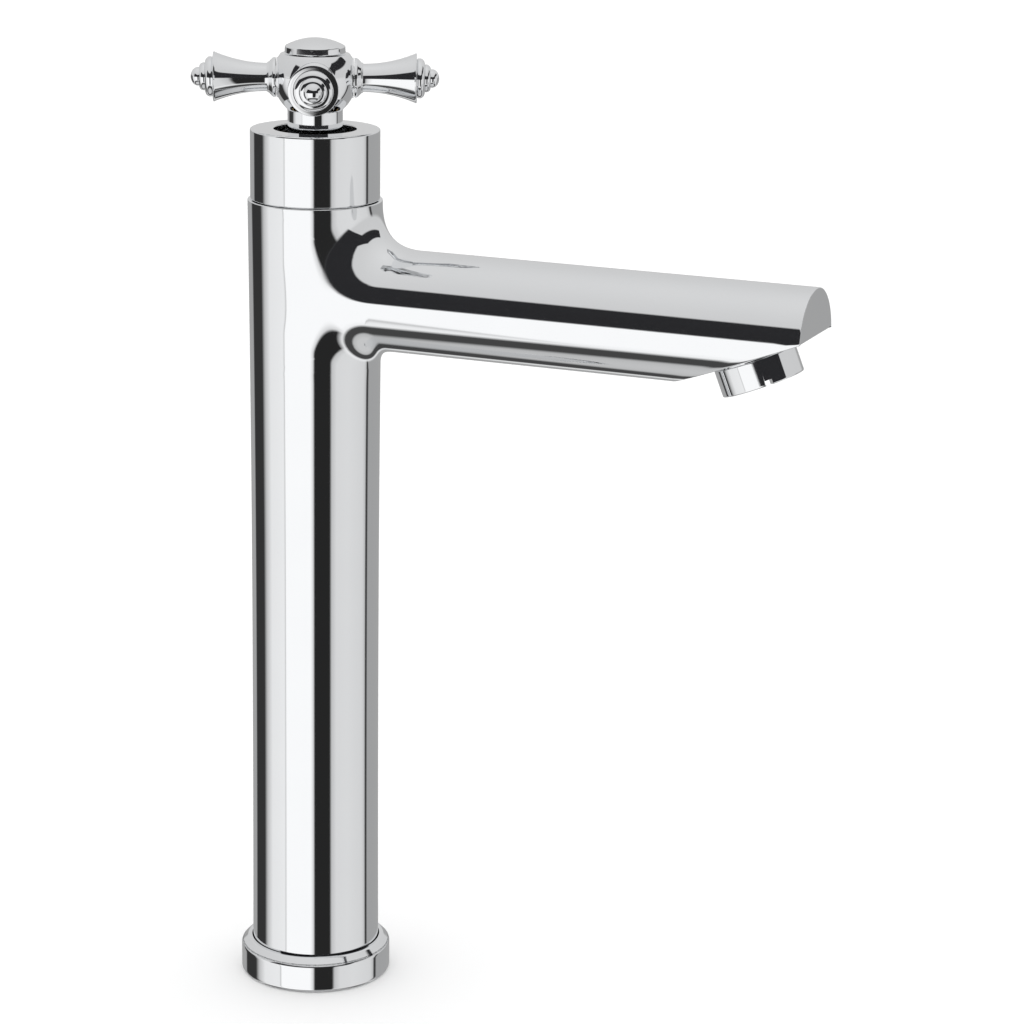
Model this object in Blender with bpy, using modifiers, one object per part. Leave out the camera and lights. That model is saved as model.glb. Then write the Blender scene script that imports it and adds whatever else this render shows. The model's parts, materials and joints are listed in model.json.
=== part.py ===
"""Single-handle basin mixer with a tall column, a level round spout and a cross handle.

Metres, +Z up.  The origin is the centre of the base on the deck, and the spout points along -Y.
Every piece is a turned, extruded or lofted solid; fits are tied together by named clearances.
"""

import math

import bmesh
import bpy
from mathutils import Matrix, Vector

# ---------------------------------------------------------------- driving sizes
CLEARANCE = 0.0003            # gap between two pieces that touch
CUT_OVERRUN = 0.002           # how far a cutter runs past the face it opens
SINK = 0.001                  # how far a joined piece runs into the one it joins
ROUND_STEPS = 32              # sides of a large turned piece
MIDDLE_STEPS = 20             # sides of a middling turned piece
SMALL_STEPS = 14              # sides of a small turned piece

# column and body casting
BODY_HEIGHT = 0.2792          # top of the visible body, under the cap
COLUMN_BASE_RADIUS = 0.0225
COLUMN_WAIST_RADIUS = 0.0221
COLUMN_TOP_RADIUS = 0.02295
COLUMN_WAIST_SHARE = 0.48     # height of the waist as a share of the body's height
COLUMN_WALL = 0.0030
SPIGOT_HEIGHT = 0.0068        # threaded neck above the body that carries the cap
SPIGOT_WALL = 0.0025
SEAT_DEPTH = 0.0232           # cartridge seat below the top of the body
VALVE_BLOCK_HEIGHT = 0.030    # solid block under the seat

# spout
SPOUT_DROP = 0.0324           # spout axis below the top of the body
SPOUT_HALF_WIDTH = 0.0170
SPOUT_HALF_HEIGHT = 0.0175
SPOUT_LENGTH = 0.1788         # column axis to the end face
SPOUT_WALL = 0.0025
SPOUT_TOP_FILLET = 0.0120
SPOUT_UNDER_FILLET = 0.0035
SPOUT_SIDES = 28
SLANT_ANGLE = math.radians(22.0)   # slope of the cut underside
END_FACE_HEIGHT = 0.0158      # height of the arched end face
SLANT_THICKNESS = 0.0080      # metal above the cut underside
THROAT_RADIUS = 0.0085        # water way from the outlet port into the spout

# aerator
AERATOR_RADIUS = 0.01385
AERATOR_HEIGHT = 0.0090
AERATOR_THREAD_RADIUS = 0.0118
AERATOR_THREAD_HEIGHT = 0.0050
AERATOR_SETBACK = 0.0222      # its axis from the end face, along the cut underside
AERATOR_FEED_LEDGE = 0.0028   # step between the thread and the feed hole above it
AERATOR_LIP = 0.0008          # lip that holds the cage in its shell
AERATOR_LIP_THICKNESS = 0.0012
AERATOR_EDGE_ROUND = 0.0006
WASHER_SPACE = 0.0015
WASHER_WIDTH = 0.0019
JET_RING_RADIUS = 0.0058
JET_RADIUS = 0.0019
JET_COUNT = 6
MESH_HOLE_RADIUS = 0.0012
AERATOR_BORE_RADIUS = 0.0104
AERATOR_NOTCH_WIDTH = 0.0024
AERATOR_NOTCH_ANGLE = math.radians(61.5)
AERATOR_NOTCH_HEIGHT = 0.0018
SCREEN_THICKNESS = 0.0007

# base
RING_RADIUS = 0.0265
RING_WALL_HEIGHT = 0.0100
RING_HEIGHT = 0.0125
RING_EDGE_ROUND = 0.0012
RING_LIP = 0.0007             # flat lip round the column, and the drop of the outer bevel
GASKET_THICKNESS = 0.0014
GASKET_RADIUS = 0.0245
GASKET_INSET = 0.0010         # gasket's hole outside the column's bore
PLATE_THICKNESS = 0.0090
STUD_HOLE_RADIUS = 0.0033
STUD_HOLE_DEPTH = 0.0065
STUD_OFFSETS = (-0.0115, 0.0140)

# water ports: hot on -X, cold on +X, outlet towards the spout
INLET_OFFSET = (0.0080, 0.0040)
INLET_PORT_RADIUS = 0.0026
OUTLET_OFFSET = -0.0080
OUTLET_PORT_RADIUS = 0.0036
TUBE_RADIUS = 0.0050
TUBE_BORE_RADIUS = 0.0034
TUBE_SOCKET_DEPTH = 0.012
TUBE_SEAL_THICKNESS = 0.0014
TUBE_SEAL_INSET = 0.0002      # seal's hole outside the tube's bore
TUBE_RISE = 0.0010            # tube's lower end above the deck

# cap
CAP_RADIUS = 0.0220
CAP_HEIGHT = 0.0237
CAP_TOP_WALL = 0.0025
CAP_OPENING_RADIUS = 0.01405
CAP_EDGE_ROUND = 0.0007
ORING_RADIUS = 0.00065

# cartridge
CARTRIDGE_RADIUS = 0.0174
CARTRIDGE_WALL = 0.0017
CARTRIDGE_BASE_HEIGHT = 0.0050
DISC_THICKNESS = 0.0032
DISC_ROOM = 0.0057            # housing's inner wall to the moving disc at rest
DISC_EDGE_ROOM = 0.0007       # housing's inner wall to the fixed disc
MIXING_POCKET = (0.40, -0.74, 0.12)   # half width, far and near end as shares of the disc
POCKET_DEPTH_SHARE = 0.55
CARRIER_THICKNESS = 0.0047
CARRIER_RAIL_HEIGHT = 0.0022
CARRIER_RAIL_HALF_WIDTH = 0.0060
CARRIAGE_STEP = 0.0017        # carriage shoulder under the housing's lip
HOUSING_STEP = 0.0028         # housing shoulder that the nut presses on
HOUSING_NECK_WALL = 0.0018
HOUSING_LIP_HEIGHT = 0.0047
LIP_COVER = 0.0008            # carriage above the pin, under the housing's lip
BOSS_RISE = 0.0020            # carriage boss above the housing
SHOULDER_RISE = 0.0036        # housing shoulder above the carriage's bottom
BORE_STEP_RISE = 0.0007       # narrower bore above the carriage's bottom
SEAL_SECTION = 0.0012
LOCATING_PIN_RADIUS = 0.0013
LOCATING_PIN_EDGE = 0.003535  # pin's centre from the cartridge's rim
LOCATING_PIN_ANGLE = math.radians(25.64)
LOCATING_PIN_LENGTH = 0.0030
NUT_FLANGE_HEIGHT = 0.0040
NUT_CORNER_ROOM = 0.00087     # nut corners to the inside of the cap
STOP_LUG_WALL = 0.0016        # housing neck outside the stop lug
STOP_LUG_RISE = 0.0018        # stop slot's floor above the housing's lip
STOP_LUG_ANGLE = math.radians(20.0)

# lever, handle and motion
PIVOT_DEPTH = 0.0130          # lever pivot below the top of the cap
PIN_RADIUS = 0.0020
STEM_RADIUS = 0.0045
STEM_NECK_RADIUS = 0.0020
STEM_BALL_RADIUS = 0.0026
NECK_ROOM = 0.0026            # room round the lever's neck above the carrier
NECK_TAPER = 0.0025
STEM_SQUARE_HALF = 0.0034
STEM_SQUARE_GAP = 0.0012      # round body's top below the neck of the hub
STEM_SQUARE_DROP = 0.0045     # square's top below the arm axis
SLOT_FRONT_ROOM = 0.0016
SLOT_BACK_ROOM = 0.0014
TILT_MAX = math.radians(16.0)
TURN_HALF_RANGE = math.radians(50.0)
HANDLE_TURN = math.radians(25.0)   # handle's place at rest, from the neutral one
HUB_WEB = 0.0020              # metal between the lever's square and the screw head
NECK_RADIUS = 0.00932
NECK_DIP = 0.0030             # neck bottom below the top of the cap
HUB_RISE = 0.0171             # arm axis above the top of the cap
HUB_RADIUS = 0.0141
HUB_TOP_RISE = 0.0081         # flat top of the hub above the arm axis
ARM_SEAT = 0.0129             # arm joint face from the handle's axis
ARM_REACH = 0.0417            # finial tip from the handle's axis
ARM_COLLAR_RADIUS = 0.0067
ARM_WAIST_RADIUS = 0.0047
ARM_FLARE_RADIUS = 0.0083
ARM_SPIGOT_RADIUS = 0.0038
ARM_SPIGOT_LENGTH = 0.0034
BEAD_RADII = (0.0065, 0.0047, 0.0031)
BEAD_LENGTHS = (0.0026, 0.0022, 0.0026)
BUTTON_RADIUS = 0.01025
BUTTON_HEIGHT = 0.0049
BUTTON_PLUG_RADIUS = 0.0056
HEX_RADIUS = 0.0019
HEX_FLOOR = 0.0008            # metal under the screw's hexagon
BUTTON_PLUG_LENGTH = 0.0030
SCREW_HEAD_RADIUS = 0.0040
SCREW_HEAD_HEIGHT = 0.0030
SCREW_SHANK_RADIUS = 0.0019
SCREW_SHANK_LENGTH = 0.0131   # shank below the top of the lever's square

# ---------------------------------------------------------------- worked-out levels and places
COLUMN_BOTTOM = GASKET_THICKNESS + CLEARANCE
BORE_RADIUS = COLUMN_WAIST_RADIUS - COLUMN_WALL
SPIGOT_TOP = BODY_HEIGHT + SPIGOT_HEIGHT
SEAT_Z = BODY_HEIGHT - SEAT_DEPTH
BLOCK_BOTTOM = SEAT_Z - VALVE_BLOCK_HEIGHT
BAY_RADIUS = CARTRIDGE_RADIUS + CLEARANCE
SPIGOT_RADIUS = BAY_RADIUS + SPIGOT_WALL
SPOUT_Z = BODY_HEIGHT - SPOUT_DROP
SPOUT_TOP = SPOUT_Z + SPOUT_HALF_HEIGHT
SLANT_END_Z = SPOUT_TOP - END_FACE_HEIGHT

CAP_BOTTOM = BODY_HEIGHT + CLEARANCE
CAP_TOP = CAP_BOTTOM + CAP_HEIGHT
CAP_INNER_RADIUS = SPIGOT_RADIUS + CLEARANCE
GROOVE_Z = BODY_HEIGHT + 0.55 * SPIGOT_HEIGHT
GROOVE_FLOOR_RADIUS = SPIGOT_RADIUS - 2 * ORING_RADIUS - CLEARANCE
GROOVE_TOP = GROOVE_Z + ORING_RADIUS + CLEARANCE
GROOVE_BOTTOM = GROOVE_Z - ORING_RADIUS - CLEARANCE

BASE_BOTTOM = SEAT_Z + CLEARANCE
BASE_TOP = BASE_BOTTOM + CARTRIDGE_BASE_HEIGHT
FIXED_BOTTOM = BASE_TOP + CLEARANCE
FIXED_TOP = FIXED_BOTTOM + DISC_THICKNESS
MOVING_BOTTOM = FIXED_TOP + CLEARANCE
MOVING_TOP = MOVING_BOTTOM + DISC_THICKNESS
CARRIER_BOTTOM = MOVING_TOP + CLEARANCE
CARRIER_TOP = CARRIER_BOTTOM + CARRIER_THICKNESS
CARRIAGE_BOTTOM = CARRIER_TOP + CLEARANCE
HOUSING_INNER_RADIUS = CARTRIDGE_RADIUS - CARTRIDGE_WALL
HOUSING_NECK_RADIUS = CARTRIDGE_RADIUS - HOUSING_STEP
CARRIAGE_BORE_RADIUS = HOUSING_NECK_RADIUS - HOUSING_NECK_WALL
CARRIAGE_RADIUS = CARRIAGE_BORE_RADIUS - CLEARANCE
BOSS_RADIUS = CARRIAGE_RADIUS - CARRIAGE_STEP
FIXED_DISC_RADIUS = HOUSING_INNER_RADIUS - DISC_EDGE_ROOM
MOVING_DISC_RADIUS = HOUSING_INNER_RADIUS - DISC_ROOM
STOP_LUG_RADIUS = HOUSING_NECK_RADIUS - STOP_LUG_WALL
LOCATING_PIN_RING = CARTRIDGE_RADIUS - LOCATING_PIN_EDGE
PIVOT_Z = CAP_TOP - PIVOT_DEPTH
LIP_BOTTOM = PIVOT_Z - PIN_RADIUS - LIP_COVER
STOP_FLOOR = LIP_BOTTOM + STOP_LUG_RISE
HOUSING_TOP = LIP_BOTTOM + HOUSING_LIP_HEIGHT
BOSS_TOP = HOUSING_TOP + BOSS_RISE
HOUSING_SHOULDER = CARRIAGE_BOTTOM + SHOULDER_RISE
NUT_BOTTOM = HOUSING_SHOULDER + CLEARANCE
NUT_FLANGE_BOTTOM = SPIGOT_TOP + CLEARANCE
BALL_Z = CARRIER_TOP - 0.40 * CARRIER_THICKNESS

HUB_Z = CAP_TOP + HUB_RISE
HUB_TOP = HUB_Z + HUB_TOP_RISE
NECK_BOTTOM = CAP_TOP - NECK_DIP
STEM_TOP = HUB_Z - STEM_SQUARE_DROP
SHANK_BOTTOM = STEM_TOP - SCREW_SHANK_LENGTH
DISC_TRAVEL = (PIVOT_Z - BALL_Z) * math.sin(TILT_MAX)

CHROME = ("chrome_plate", (0.80, 0.81, 0.82, 1.0), 1.0, 0.04)
BRASS = ("plain_brass", (0.78, 0.60, 0.32, 1.0), 1.0, 0.30)
STEEL = ("stainless_steel", (0.62, 0.62, 0.60, 1.0), 1.0, 0.28)
RUBBER = ("black_rubber", (0.02, 0.02, 0.02, 1.0), 0.0, 0.70)
PLASTIC = ("white_acetal", (0.80, 0.80, 0.77, 1.0), 0.0, 0.45)
GREY_PLASTIC = ("grey_acetal", (0.28, 0.30, 0.32, 1.0), 0.0, 0.45)
CERAMIC = ("disc_ceramic", (0.86, 0.85, 0.82, 1.0), 0.0, 0.18)


# ---------------------------------------------------------------- scene and helpers
def clear_scene():
    """Remove every object and collection that the file starts with."""
    for old in list(bpy.data.objects):
        bpy.data.objects.remove(old, do_unlink=True)
    for old in list(bpy.data.collections):
        bpy.data.collections.remove(old)


def new_collection(name):
    group = bpy.data.collections.new(name)
    bpy.context.scene.collection.children.link(group)
    return group


clear_scene()
PARTS = new_collection("mixer_faucet")
CUTTERS = new_collection("cutters")


def material(finish):
    """Return the Principled material of a finish, made on first use."""
    name, colour, metallic, roughness = finish
    found = bpy.data.materials.get(name)
    if found:
        return found
    made = bpy.data.materials.new(name)
    made.use_nodes = True
    shader = made.node_tree.nodes["Principled BSDF"]
    shader.inputs["Base Color"].default_value = colour
    shader.inputs["Metallic"].default_value = metallic
    shader.inputs["Roughness"].default_value = roughness
    return made


def add_object(name, mesh, finish=None, matrix=None, parent=None):
    """Link a mesh as a part when it has a finish, or as a hidden cutter when it has none."""
    thing = bpy.data.objects.new(name, mesh)
    if finish:
        PARTS.objects.link(thing)
        mesh.materials.append(material(finish))
    else:
        CUTTERS.objects.link(thing)
        thing.hide_render = True
        thing.display_type = "WIRE"
    thing.matrix_world = matrix or Matrix.Identity(4)
    if parent:
        thing.parent = parent
        thing.matrix_parent_inverse = parent.matrix_world.inverted()
    return thing


def at(x=0.0, y=0.0, z=0.0):
    return Matrix.Translation((x, y, z))


def turned(name, profile, finish=None, matrix=None, parent=None, steps=ROUND_STEPS, closed=False):
    """Turn an (radius, height) outline about its Z axis; it runs down the outer side."""
    mesh = bpy.data.meshes.new(name)
    count = len(profile)
    edges = [(i, i + 1) for i in range(count - 1)]
    if closed:
        edges.append((count - 1, 0))
    mesh.from_pydata([(radius, 0.0, height) for radius, height in profile], edges, [])
    thing = add_object(name, mesh, finish, matrix, parent)
    screw = thing.modifiers.new("turn", "SCREW")
    screw.angle = math.tau
    screw.steps = steps
    screw.render_steps = steps
    screw.use_merge_vertices = True
    screw.merge_threshold = 0.00001
    screw.use_smooth_shade = True
    return thing


def rod(name, radius, bottom, top, finish=None, matrix=None, parent=None, steps=SMALL_STEPS):
    """Solid cylinder along its Z axis between two heights.

    A cutter is turned a quarter of a side, so that its corners never meet those of what it cuts.
    """
    shape = bmesh.new()
    place = at(z=(top + bottom) / 2)
    if not finish:
        place = place @ Matrix.Rotation(math.tau / steps / 4, 4, "Z")
    bmesh.ops.create_cone(shape, cap_ends=True, segments=steps, radius1=radius, radius2=radius,
                          depth=top - bottom, matrix=place)
    mesh = bpy.data.meshes.new(name)
    shape.to_mesh(mesh)
    shape.free()
    return add_object(name, mesh, finish, matrix, parent)


def tube_ring(name, outer, inner, bottom, top, finish, matrix=None, parent=None, steps=ROUND_STEPS):
    """Plain ring with a rectangular section."""
    outline = [(outer, top), (outer, bottom), (inner, bottom), (inner, top)]
    return turned(name, outline, finish, matrix, parent, steps, closed=True)


def cord_ring(name, radius, section, height, finish, sides=10, steps=ROUND_STEPS):
    """O-ring of a round section, turned from a circle that runs clockwise."""
    angles = [-math.tau * i / sides for i in range(sides)]
    outline = [(radius + section * math.cos(a), height + section * math.sin(a)) for a in angles]
    return turned(name, outline, finish, steps=steps, closed=True)


def block(name, low, high, matrix=None):
    """Box cutter between two corners."""
    shape = bmesh.new()
    size = [b - a for a, b in zip(low, high)]
    middle = [(a + b) / 2 for a, b in zip(low, high)]
    place = Matrix.Translation(middle) @ Matrix.Diagonal((*size, 1.0))
    bmesh.ops.create_cube(shape, size=1.0, matrix=place)
    mesh = bpy.data.meshes.new(name)
    shape.to_mesh(mesh)
    shape.free()
    return add_object(name, mesh, matrix=matrix)


def outline_solid(name, points, bottom, top, finish=None, matrix=None):
    """Flat outline with thickness, made as a filled curve and turned into a closed mesh."""
    curve = bpy.data.curves.new(name, "CURVE")
    curve.dimensions = "2D"
    curve.fill_mode = "BOTH"
    curve.extrude = (top - bottom) / 2
    spline = curve.splines.new("POLY")
    spline.points.add(len(points) - 1)
    for knot, (x, y) in zip(spline.points, points):
        knot.co = (x, y, 0.0, 1.0)
    spline.use_cyclic_u = True
    rough = bpy.data.objects.new(name + "_curve", curve)
    CUTTERS.objects.link(rough)
    graph = bpy.context.evaluated_depsgraph_get()
    mesh = bpy.data.meshes.new_from_object(rough.evaluated_get(graph))
    bpy.data.objects.remove(rough)
    shape = bmesh.new()
    shape.from_mesh(mesh)
    bmesh.ops.remove_doubles(shape, verts=shape.verts, dist=0.000001)
    bmesh.ops.translate(shape, verts=shape.verts, vec=(0, 0, (top + bottom) / 2))
    bmesh.ops.recalc_face_normals(shape, faces=shape.faces)
    shape.to_mesh(mesh)
    shape.free()
    mesh.materials.clear()
    mesh.name = name
    return add_object(name, mesh, finish, matrix)


def loft(name, rings):
    """Closed skin through rings of equal count, capped at both ends."""
    sides = len(rings[0])
    points = [point for ring in rings for point in ring]
    faces = [tuple(range(sides))]
    for r in range(len(rings) - 1):
        for i in range(sides):
            j = (i + 1) % sides
            low, high = r * sides, (r + 1) * sides
            faces.append((low + i, high + i, high + j, low + j))
    faces.append(tuple(reversed(range((len(rings) - 1) * sides, len(points)))))
    mesh = bpy.data.meshes.new(name)
    mesh.from_pydata(points, [], faces)
    shape = bmesh.new()
    shape.from_mesh(mesh)
    bmesh.ops.recalc_face_normals(shape, faces=shape.faces)
    shape.to_mesh(mesh)
    shape.free()
    return add_object(name, mesh)


def boolean(target, tool, operation):
    step = target.modifiers.new(tool.name, "BOOLEAN")
    step.operation = operation
    step.solver = "EXACT"
    step.object = tool


def cut(target, *tools):
    for tool in tools:
        boolean(target, tool, "DIFFERENCE")


def join(target, *tools):
    for tool in tools:
        boolean(target, tool, "UNION")


def smooth(thing, angle=math.radians(35)):
    """Shade a piece smooth and keep its corners sharp."""
    thing.data.shade_smooth()
    thing.data.set_sharp_from_angle(angle=angle)


def stadium(half_width, back, front, steps=8):
    """Outline of a round-ended slot along Y, from its back end to its front end."""
    low, high = back + half_width, front - half_width
    points = []
    for i in range(steps + 1):
        a = math.pi * i / steps
        points.append((half_width * math.cos(a), high + half_width * math.sin(a)))
    for i in range(steps + 1):
        a = math.pi + math.pi * i / steps
        points.append((half_width * math.cos(a), low + half_width * math.sin(a)))
    return points


def sector(inner, outer, start, end, steps=12):
    """Outline of a ring sector between two angles."""
    angles = [start + (end - start) * i / steps for i in range(steps + 1)]
    far = [(outer * math.cos(a), outer * math.sin(a)) for a in angles]
    near = [(inner * math.cos(a), inner * math.sin(a)) for a in reversed(angles)]
    return far + near


# ---------------------------------------------------------------- body casting
def column_radius(z):
    """Outer radius of the column: a waist with a quadratic swell above and below it."""
    waist = BODY_HEIGHT * COLUMN_WAIST_SHARE
    if z < waist:
        return COLUMN_WAIST_RADIUS + (COLUMN_BASE_RADIUS - COLUMN_WAIST_RADIUS) * (1 - z / waist) ** 2
    share = (z - waist) / (BODY_HEIGHT - waist)
    return COLUMN_WAIST_RADIUS + (COLUMN_TOP_RADIUS - COLUMN_WAIST_RADIUS) * share ** 2


def spout_ring(reach, sink=0.0):
    """Oval section of the spout at a distance from the column axis, flared by the root fillets.

    Each point's fillet is measured from the column's surface beside it.  sink moves the
    surface inwards, for the water channel.
    """
    root = column_radius(SPOUT_Z)
    ring = []
    for i in range(SPOUT_SIDES):
        a = math.tau * (i + 0.5) / SPOUT_SIDES
        x = (SPOUT_HALF_WIDTH - sink) * math.cos(a)
        distance = reach - math.sqrt(root ** 2 - x ** 2)
        fillet = SPOUT_TOP_FILLET if math.sin(a) > 0 else SPOUT_UNDER_FILLET
        lift = fillet_rise(distance, fillet) * math.sin(a)
        z = (SPOUT_HALF_HEIGHT - sink) * math.sin(a) + lift
        ring.append((x, -reach, SPOUT_Z + z))
    return ring


def fillet_rise(distance, radius):
    """Height of a quarter-round fillet at a distance from the wall it rises to."""
    if distance >= radius:
        return 0.0
    back = radius - max(distance, 0.0)
    return radius - math.sqrt(max(radius ** 2 - back ** 2, 0.0))


def slant_frame():
    """Frame on the cut underside: origin at the aerator's axis, +Z pointing out of the metal."""
    middle = SPOUT_LENGTH - AERATOR_SETBACK * math.cos(SLANT_ANGLE)
    height = SLANT_END_Z - AERATOR_SETBACK * math.sin(SLANT_ANGLE)
    outward = Vector((0.0, -math.sin(SLANT_ANGLE), -math.cos(SLANT_ANGLE)))
    along = Vector((0.0, -math.cos(SLANT_ANGLE), math.sin(SLANT_ANGLE)))
    across = along.cross(outward)
    turn = Matrix((across, along, outward)).transposed().to_4x4()
    return at(0.0, -middle, height) @ turn


def make_body():
    """Column, valve block and spout in one casting, with its bores and water ways."""
    levels = 8
    outline = [(0.0, SPIGOT_TOP), (SPIGOT_RADIUS, SPIGOT_TOP),
               (SPIGOT_RADIUS, GROOVE_TOP), (GROOVE_FLOOR_RADIUS, GROOVE_TOP),
               (GROOVE_FLOOR_RADIUS, GROOVE_BOTTOM), (SPIGOT_RADIUS, GROOVE_BOTTOM),
               (SPIGOT_RADIUS, BODY_HEIGHT)]
    for i in range(levels + 1):
        z = BODY_HEIGHT + (COLUMN_BOTTOM - BODY_HEIGHT) * i / levels
        outline.append((column_radius(z), z))
    outline.append((0.0, COLUMN_BOTTOM))
    body = turned("body", outline, CHROME)

    root = column_radius(SPOUT_Z)
    flare_start = root - SPOUT_HALF_WIDTH * 0.55
    flare_end = root + SPOUT_TOP_FILLET
    flare = [flare_start + (flare_end - flare_start) * share for share in
             (0.0, 0.2, 0.38, 0.47, 0.55, 0.7, 1.0)]
    join(body, loft("spout_form", [spout_ring(s) for s in flare + [SPOUT_LENGTH]]))

    frame = slant_frame()
    reach = SPOUT_LENGTH
    heel = (frame.translation.z - SPOUT_Z + SPOUT_HALF_HEIGHT) / math.sin(SLANT_ANGLE)
    cut(body, block("slant_cutter", (-reach, -heel - CUT_OVERRUN, 0.0),
                    (reach, AERATOR_SETBACK + CUT_OVERRUN, 2 * SPOUT_HALF_HEIGHT), frame))

    cut(body, rod("column_bore", BORE_RADIUS, -CUT_OVERRUN, BLOCK_BOTTOM, steps=ROUND_STEPS),
        rod("cartridge_bay", BAY_RADIUS, SEAT_Z, SPIGOT_TOP + CUT_OVERRUN, steps=ROUND_STEPS))

    channel_ends = (root + SPOUT_TOP_FILLET, SPOUT_LENGTH - SPOUT_WALL)
    channel = loft("spout_channel", [spout_ring(s, SPOUT_WALL) for s in channel_ends])
    cut(channel, block("channel_floor", (-reach, -2 * reach, -SLANT_THICKNESS), (reach, reach, reach),
                       frame))
    cut(body, channel)
    level = Matrix.Rotation(math.radians(90), 4, "X")
    cut(body, rod("throat", THROAT_RADIUS, -OUTLET_OFFSET, root + SPOUT_TOP_FILLET + CUT_OVERRUN,
                  matrix=at(z=SPOUT_Z) @ level),
        rod("outlet_way", OUTLET_PORT_RADIUS, SPOUT_Z, SEAT_Z + CUT_OVERRUN, matrix=at(y=OUTLET_OFFSET)))

    socket_top = BLOCK_BOTTOM + TUBE_SOCKET_DEPTH
    for side, label in ((-1, "hot"), (1, "cold")):
        place = at(side * INLET_OFFSET[0], INLET_OFFSET[1])
        cut(body, rod(label + "_way", INLET_PORT_RADIUS, BLOCK_BOTTOM, SEAT_Z + CUT_OVERRUN, matrix=place),
            rod(label + "_socket", TUBE_RADIUS + CLEARANCE, BLOCK_BOTTOM - CUT_OVERRUN, socket_top,
                matrix=place))
        pin_place = pin_matrix(side)
        cut(body, rod(label + "_pin_hole", LOCATING_PIN_RADIUS + CLEARANCE,
                      SEAT_Z - LOCATING_PIN_LENGTH - CLEARANCE, SEAT_Z + CUT_OVERRUN,
                      matrix=pin_place, steps=12))

    seat_depth = AERATOR_THREAD_HEIGHT + WASHER_SPACE
    cut(body, rod("aerator_thread_bore", AERATOR_THREAD_RADIUS + CLEARANCE, -seat_depth, CUT_OVERRUN,
                  matrix=frame, steps=ROUND_STEPS),
        rod("aerator_feed", AERATOR_THREAD_RADIUS - AERATOR_FEED_LEDGE, -SLANT_THICKNESS - CUT_OVERRUN,
            CUT_OVERRUN, matrix=frame, steps=ROUND_STEPS))
    smooth(body)


# ---------------------------------------------------------------- base
def make_base():
    """Ring, gasket, fixing plate and the two supply tubes with their seals."""
    inner = COLUMN_BASE_RADIUS + CLEARANCE
    recess = GASKET_RADIUS + CLEARANCE
    turned("base_ring", [
        (inner, RING_HEIGHT),
        (inner + RING_LIP, RING_HEIGHT),
        (RING_RADIUS - RING_EDGE_ROUND, RING_WALL_HEIGHT + RING_LIP),
        (RING_RADIUS, RING_WALL_HEIGHT),
        (RING_RADIUS, CLEARANCE + RING_EDGE_ROUND),
        (RING_RADIUS - 0.3 * RING_EDGE_ROUND, CLEARANCE + 0.3 * RING_EDGE_ROUND),
        (RING_RADIUS - RING_EDGE_ROUND, CLEARANCE),
        (recess, CLEARANCE),
        (recess, GASKET_THICKNESS + CLEARANCE),
        (inner, GASKET_THICKNESS + CLEARANCE)], CHROME, closed=True)
    tube_ring("base_gasket", GASKET_RADIUS, BORE_RADIUS + GASKET_INSET, 0.0, GASKET_THICKNESS, RUBBER)

    plate = rod("base_plate", BORE_RADIUS - CLEARANCE, 0.0, PLATE_THICKNESS, BRASS, steps=ROUND_STEPS)
    for number, offset in enumerate(STUD_OFFSETS):
        cut(plate, rod("stud_hole_%d" % number, STUD_HOLE_RADIUS, -CUT_OVERRUN, STUD_HOLE_DEPTH,
                       matrix=at(y=offset)))
    socket_top = BLOCK_BOTTOM + TUBE_SOCKET_DEPTH
    tube_top = socket_top - TUBE_SEAL_THICKNESS - 2 * CLEARANCE
    for side, label in ((-1, "hot"), (1, "cold")):
        place = at(side * INLET_OFFSET[0], INLET_OFFSET[1])
        cut(plate, rod(label + "_plate_hole", TUBE_RADIUS + CLEARANCE, -CUT_OVERRUN,
                       PLATE_THICKNESS + CUT_OVERRUN, matrix=place))
        tube_ring(label + "_supply_tube", TUBE_RADIUS, TUBE_BORE_RADIUS, TUBE_RISE, tube_top, BRASS,
                  place, steps=SMALL_STEPS)
        tube_ring(label + "_tube_seal", TUBE_RADIUS, TUBE_BORE_RADIUS + TUBE_SEAL_INSET, tube_top + CLEARANCE,
                  tube_top + CLEARANCE + TUBE_SEAL_THICKNESS, RUBBER, place, steps=SMALL_STEPS)


# ---------------------------------------------------------------- cap and nut
def make_cap():
    """Open-topped cap that hides the cartridge, with its O-ring and the nut under it."""
    turned("cap", [
        (CAP_OPENING_RADIUS, CAP_TOP),
        (CAP_RADIUS - CAP_EDGE_ROUND, CAP_TOP),
        (CAP_RADIUS - 0.3 * CAP_EDGE_ROUND, CAP_TOP - 0.3 * CAP_EDGE_ROUND),
        (CAP_RADIUS, CAP_TOP - CAP_EDGE_ROUND),
        (CAP_RADIUS, CAP_BOTTOM),
        (CAP_INNER_RADIUS, CAP_BOTTOM),
        (CAP_INNER_RADIUS, CAP_TOP - CAP_TOP_WALL),
        (CAP_OPENING_RADIUS, CAP_TOP - CAP_TOP_WALL)], CHROME, closed=True)
    cord_ring("cap_oring", SPIGOT_RADIUS - ORING_RADIUS, ORING_RADIUS, GROOVE_Z, RUBBER, sides=8)

    flange_top = NUT_FLANGE_BOTTOM + NUT_FLANGE_HEIGHT
    nut = rod("retaining_nut", CAP_INNER_RADIUS - NUT_CORNER_ROOM, NUT_FLANGE_BOTTOM, flange_top, BRASS,
              steps=6)
    join(nut, rod("nut_thread", BAY_RADIUS - CLEARANCE, NUT_BOTTOM,
                  NUT_FLANGE_BOTTOM + NUT_FLANGE_HEIGHT / 2, steps=ROUND_STEPS))
    cut(nut, rod("nut_bore", HOUSING_NECK_RADIUS + CLEARANCE, NUT_BOTTOM - CUT_OVERRUN,
                 flange_top + CUT_OVERRUN, steps=ROUND_STEPS))


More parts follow.
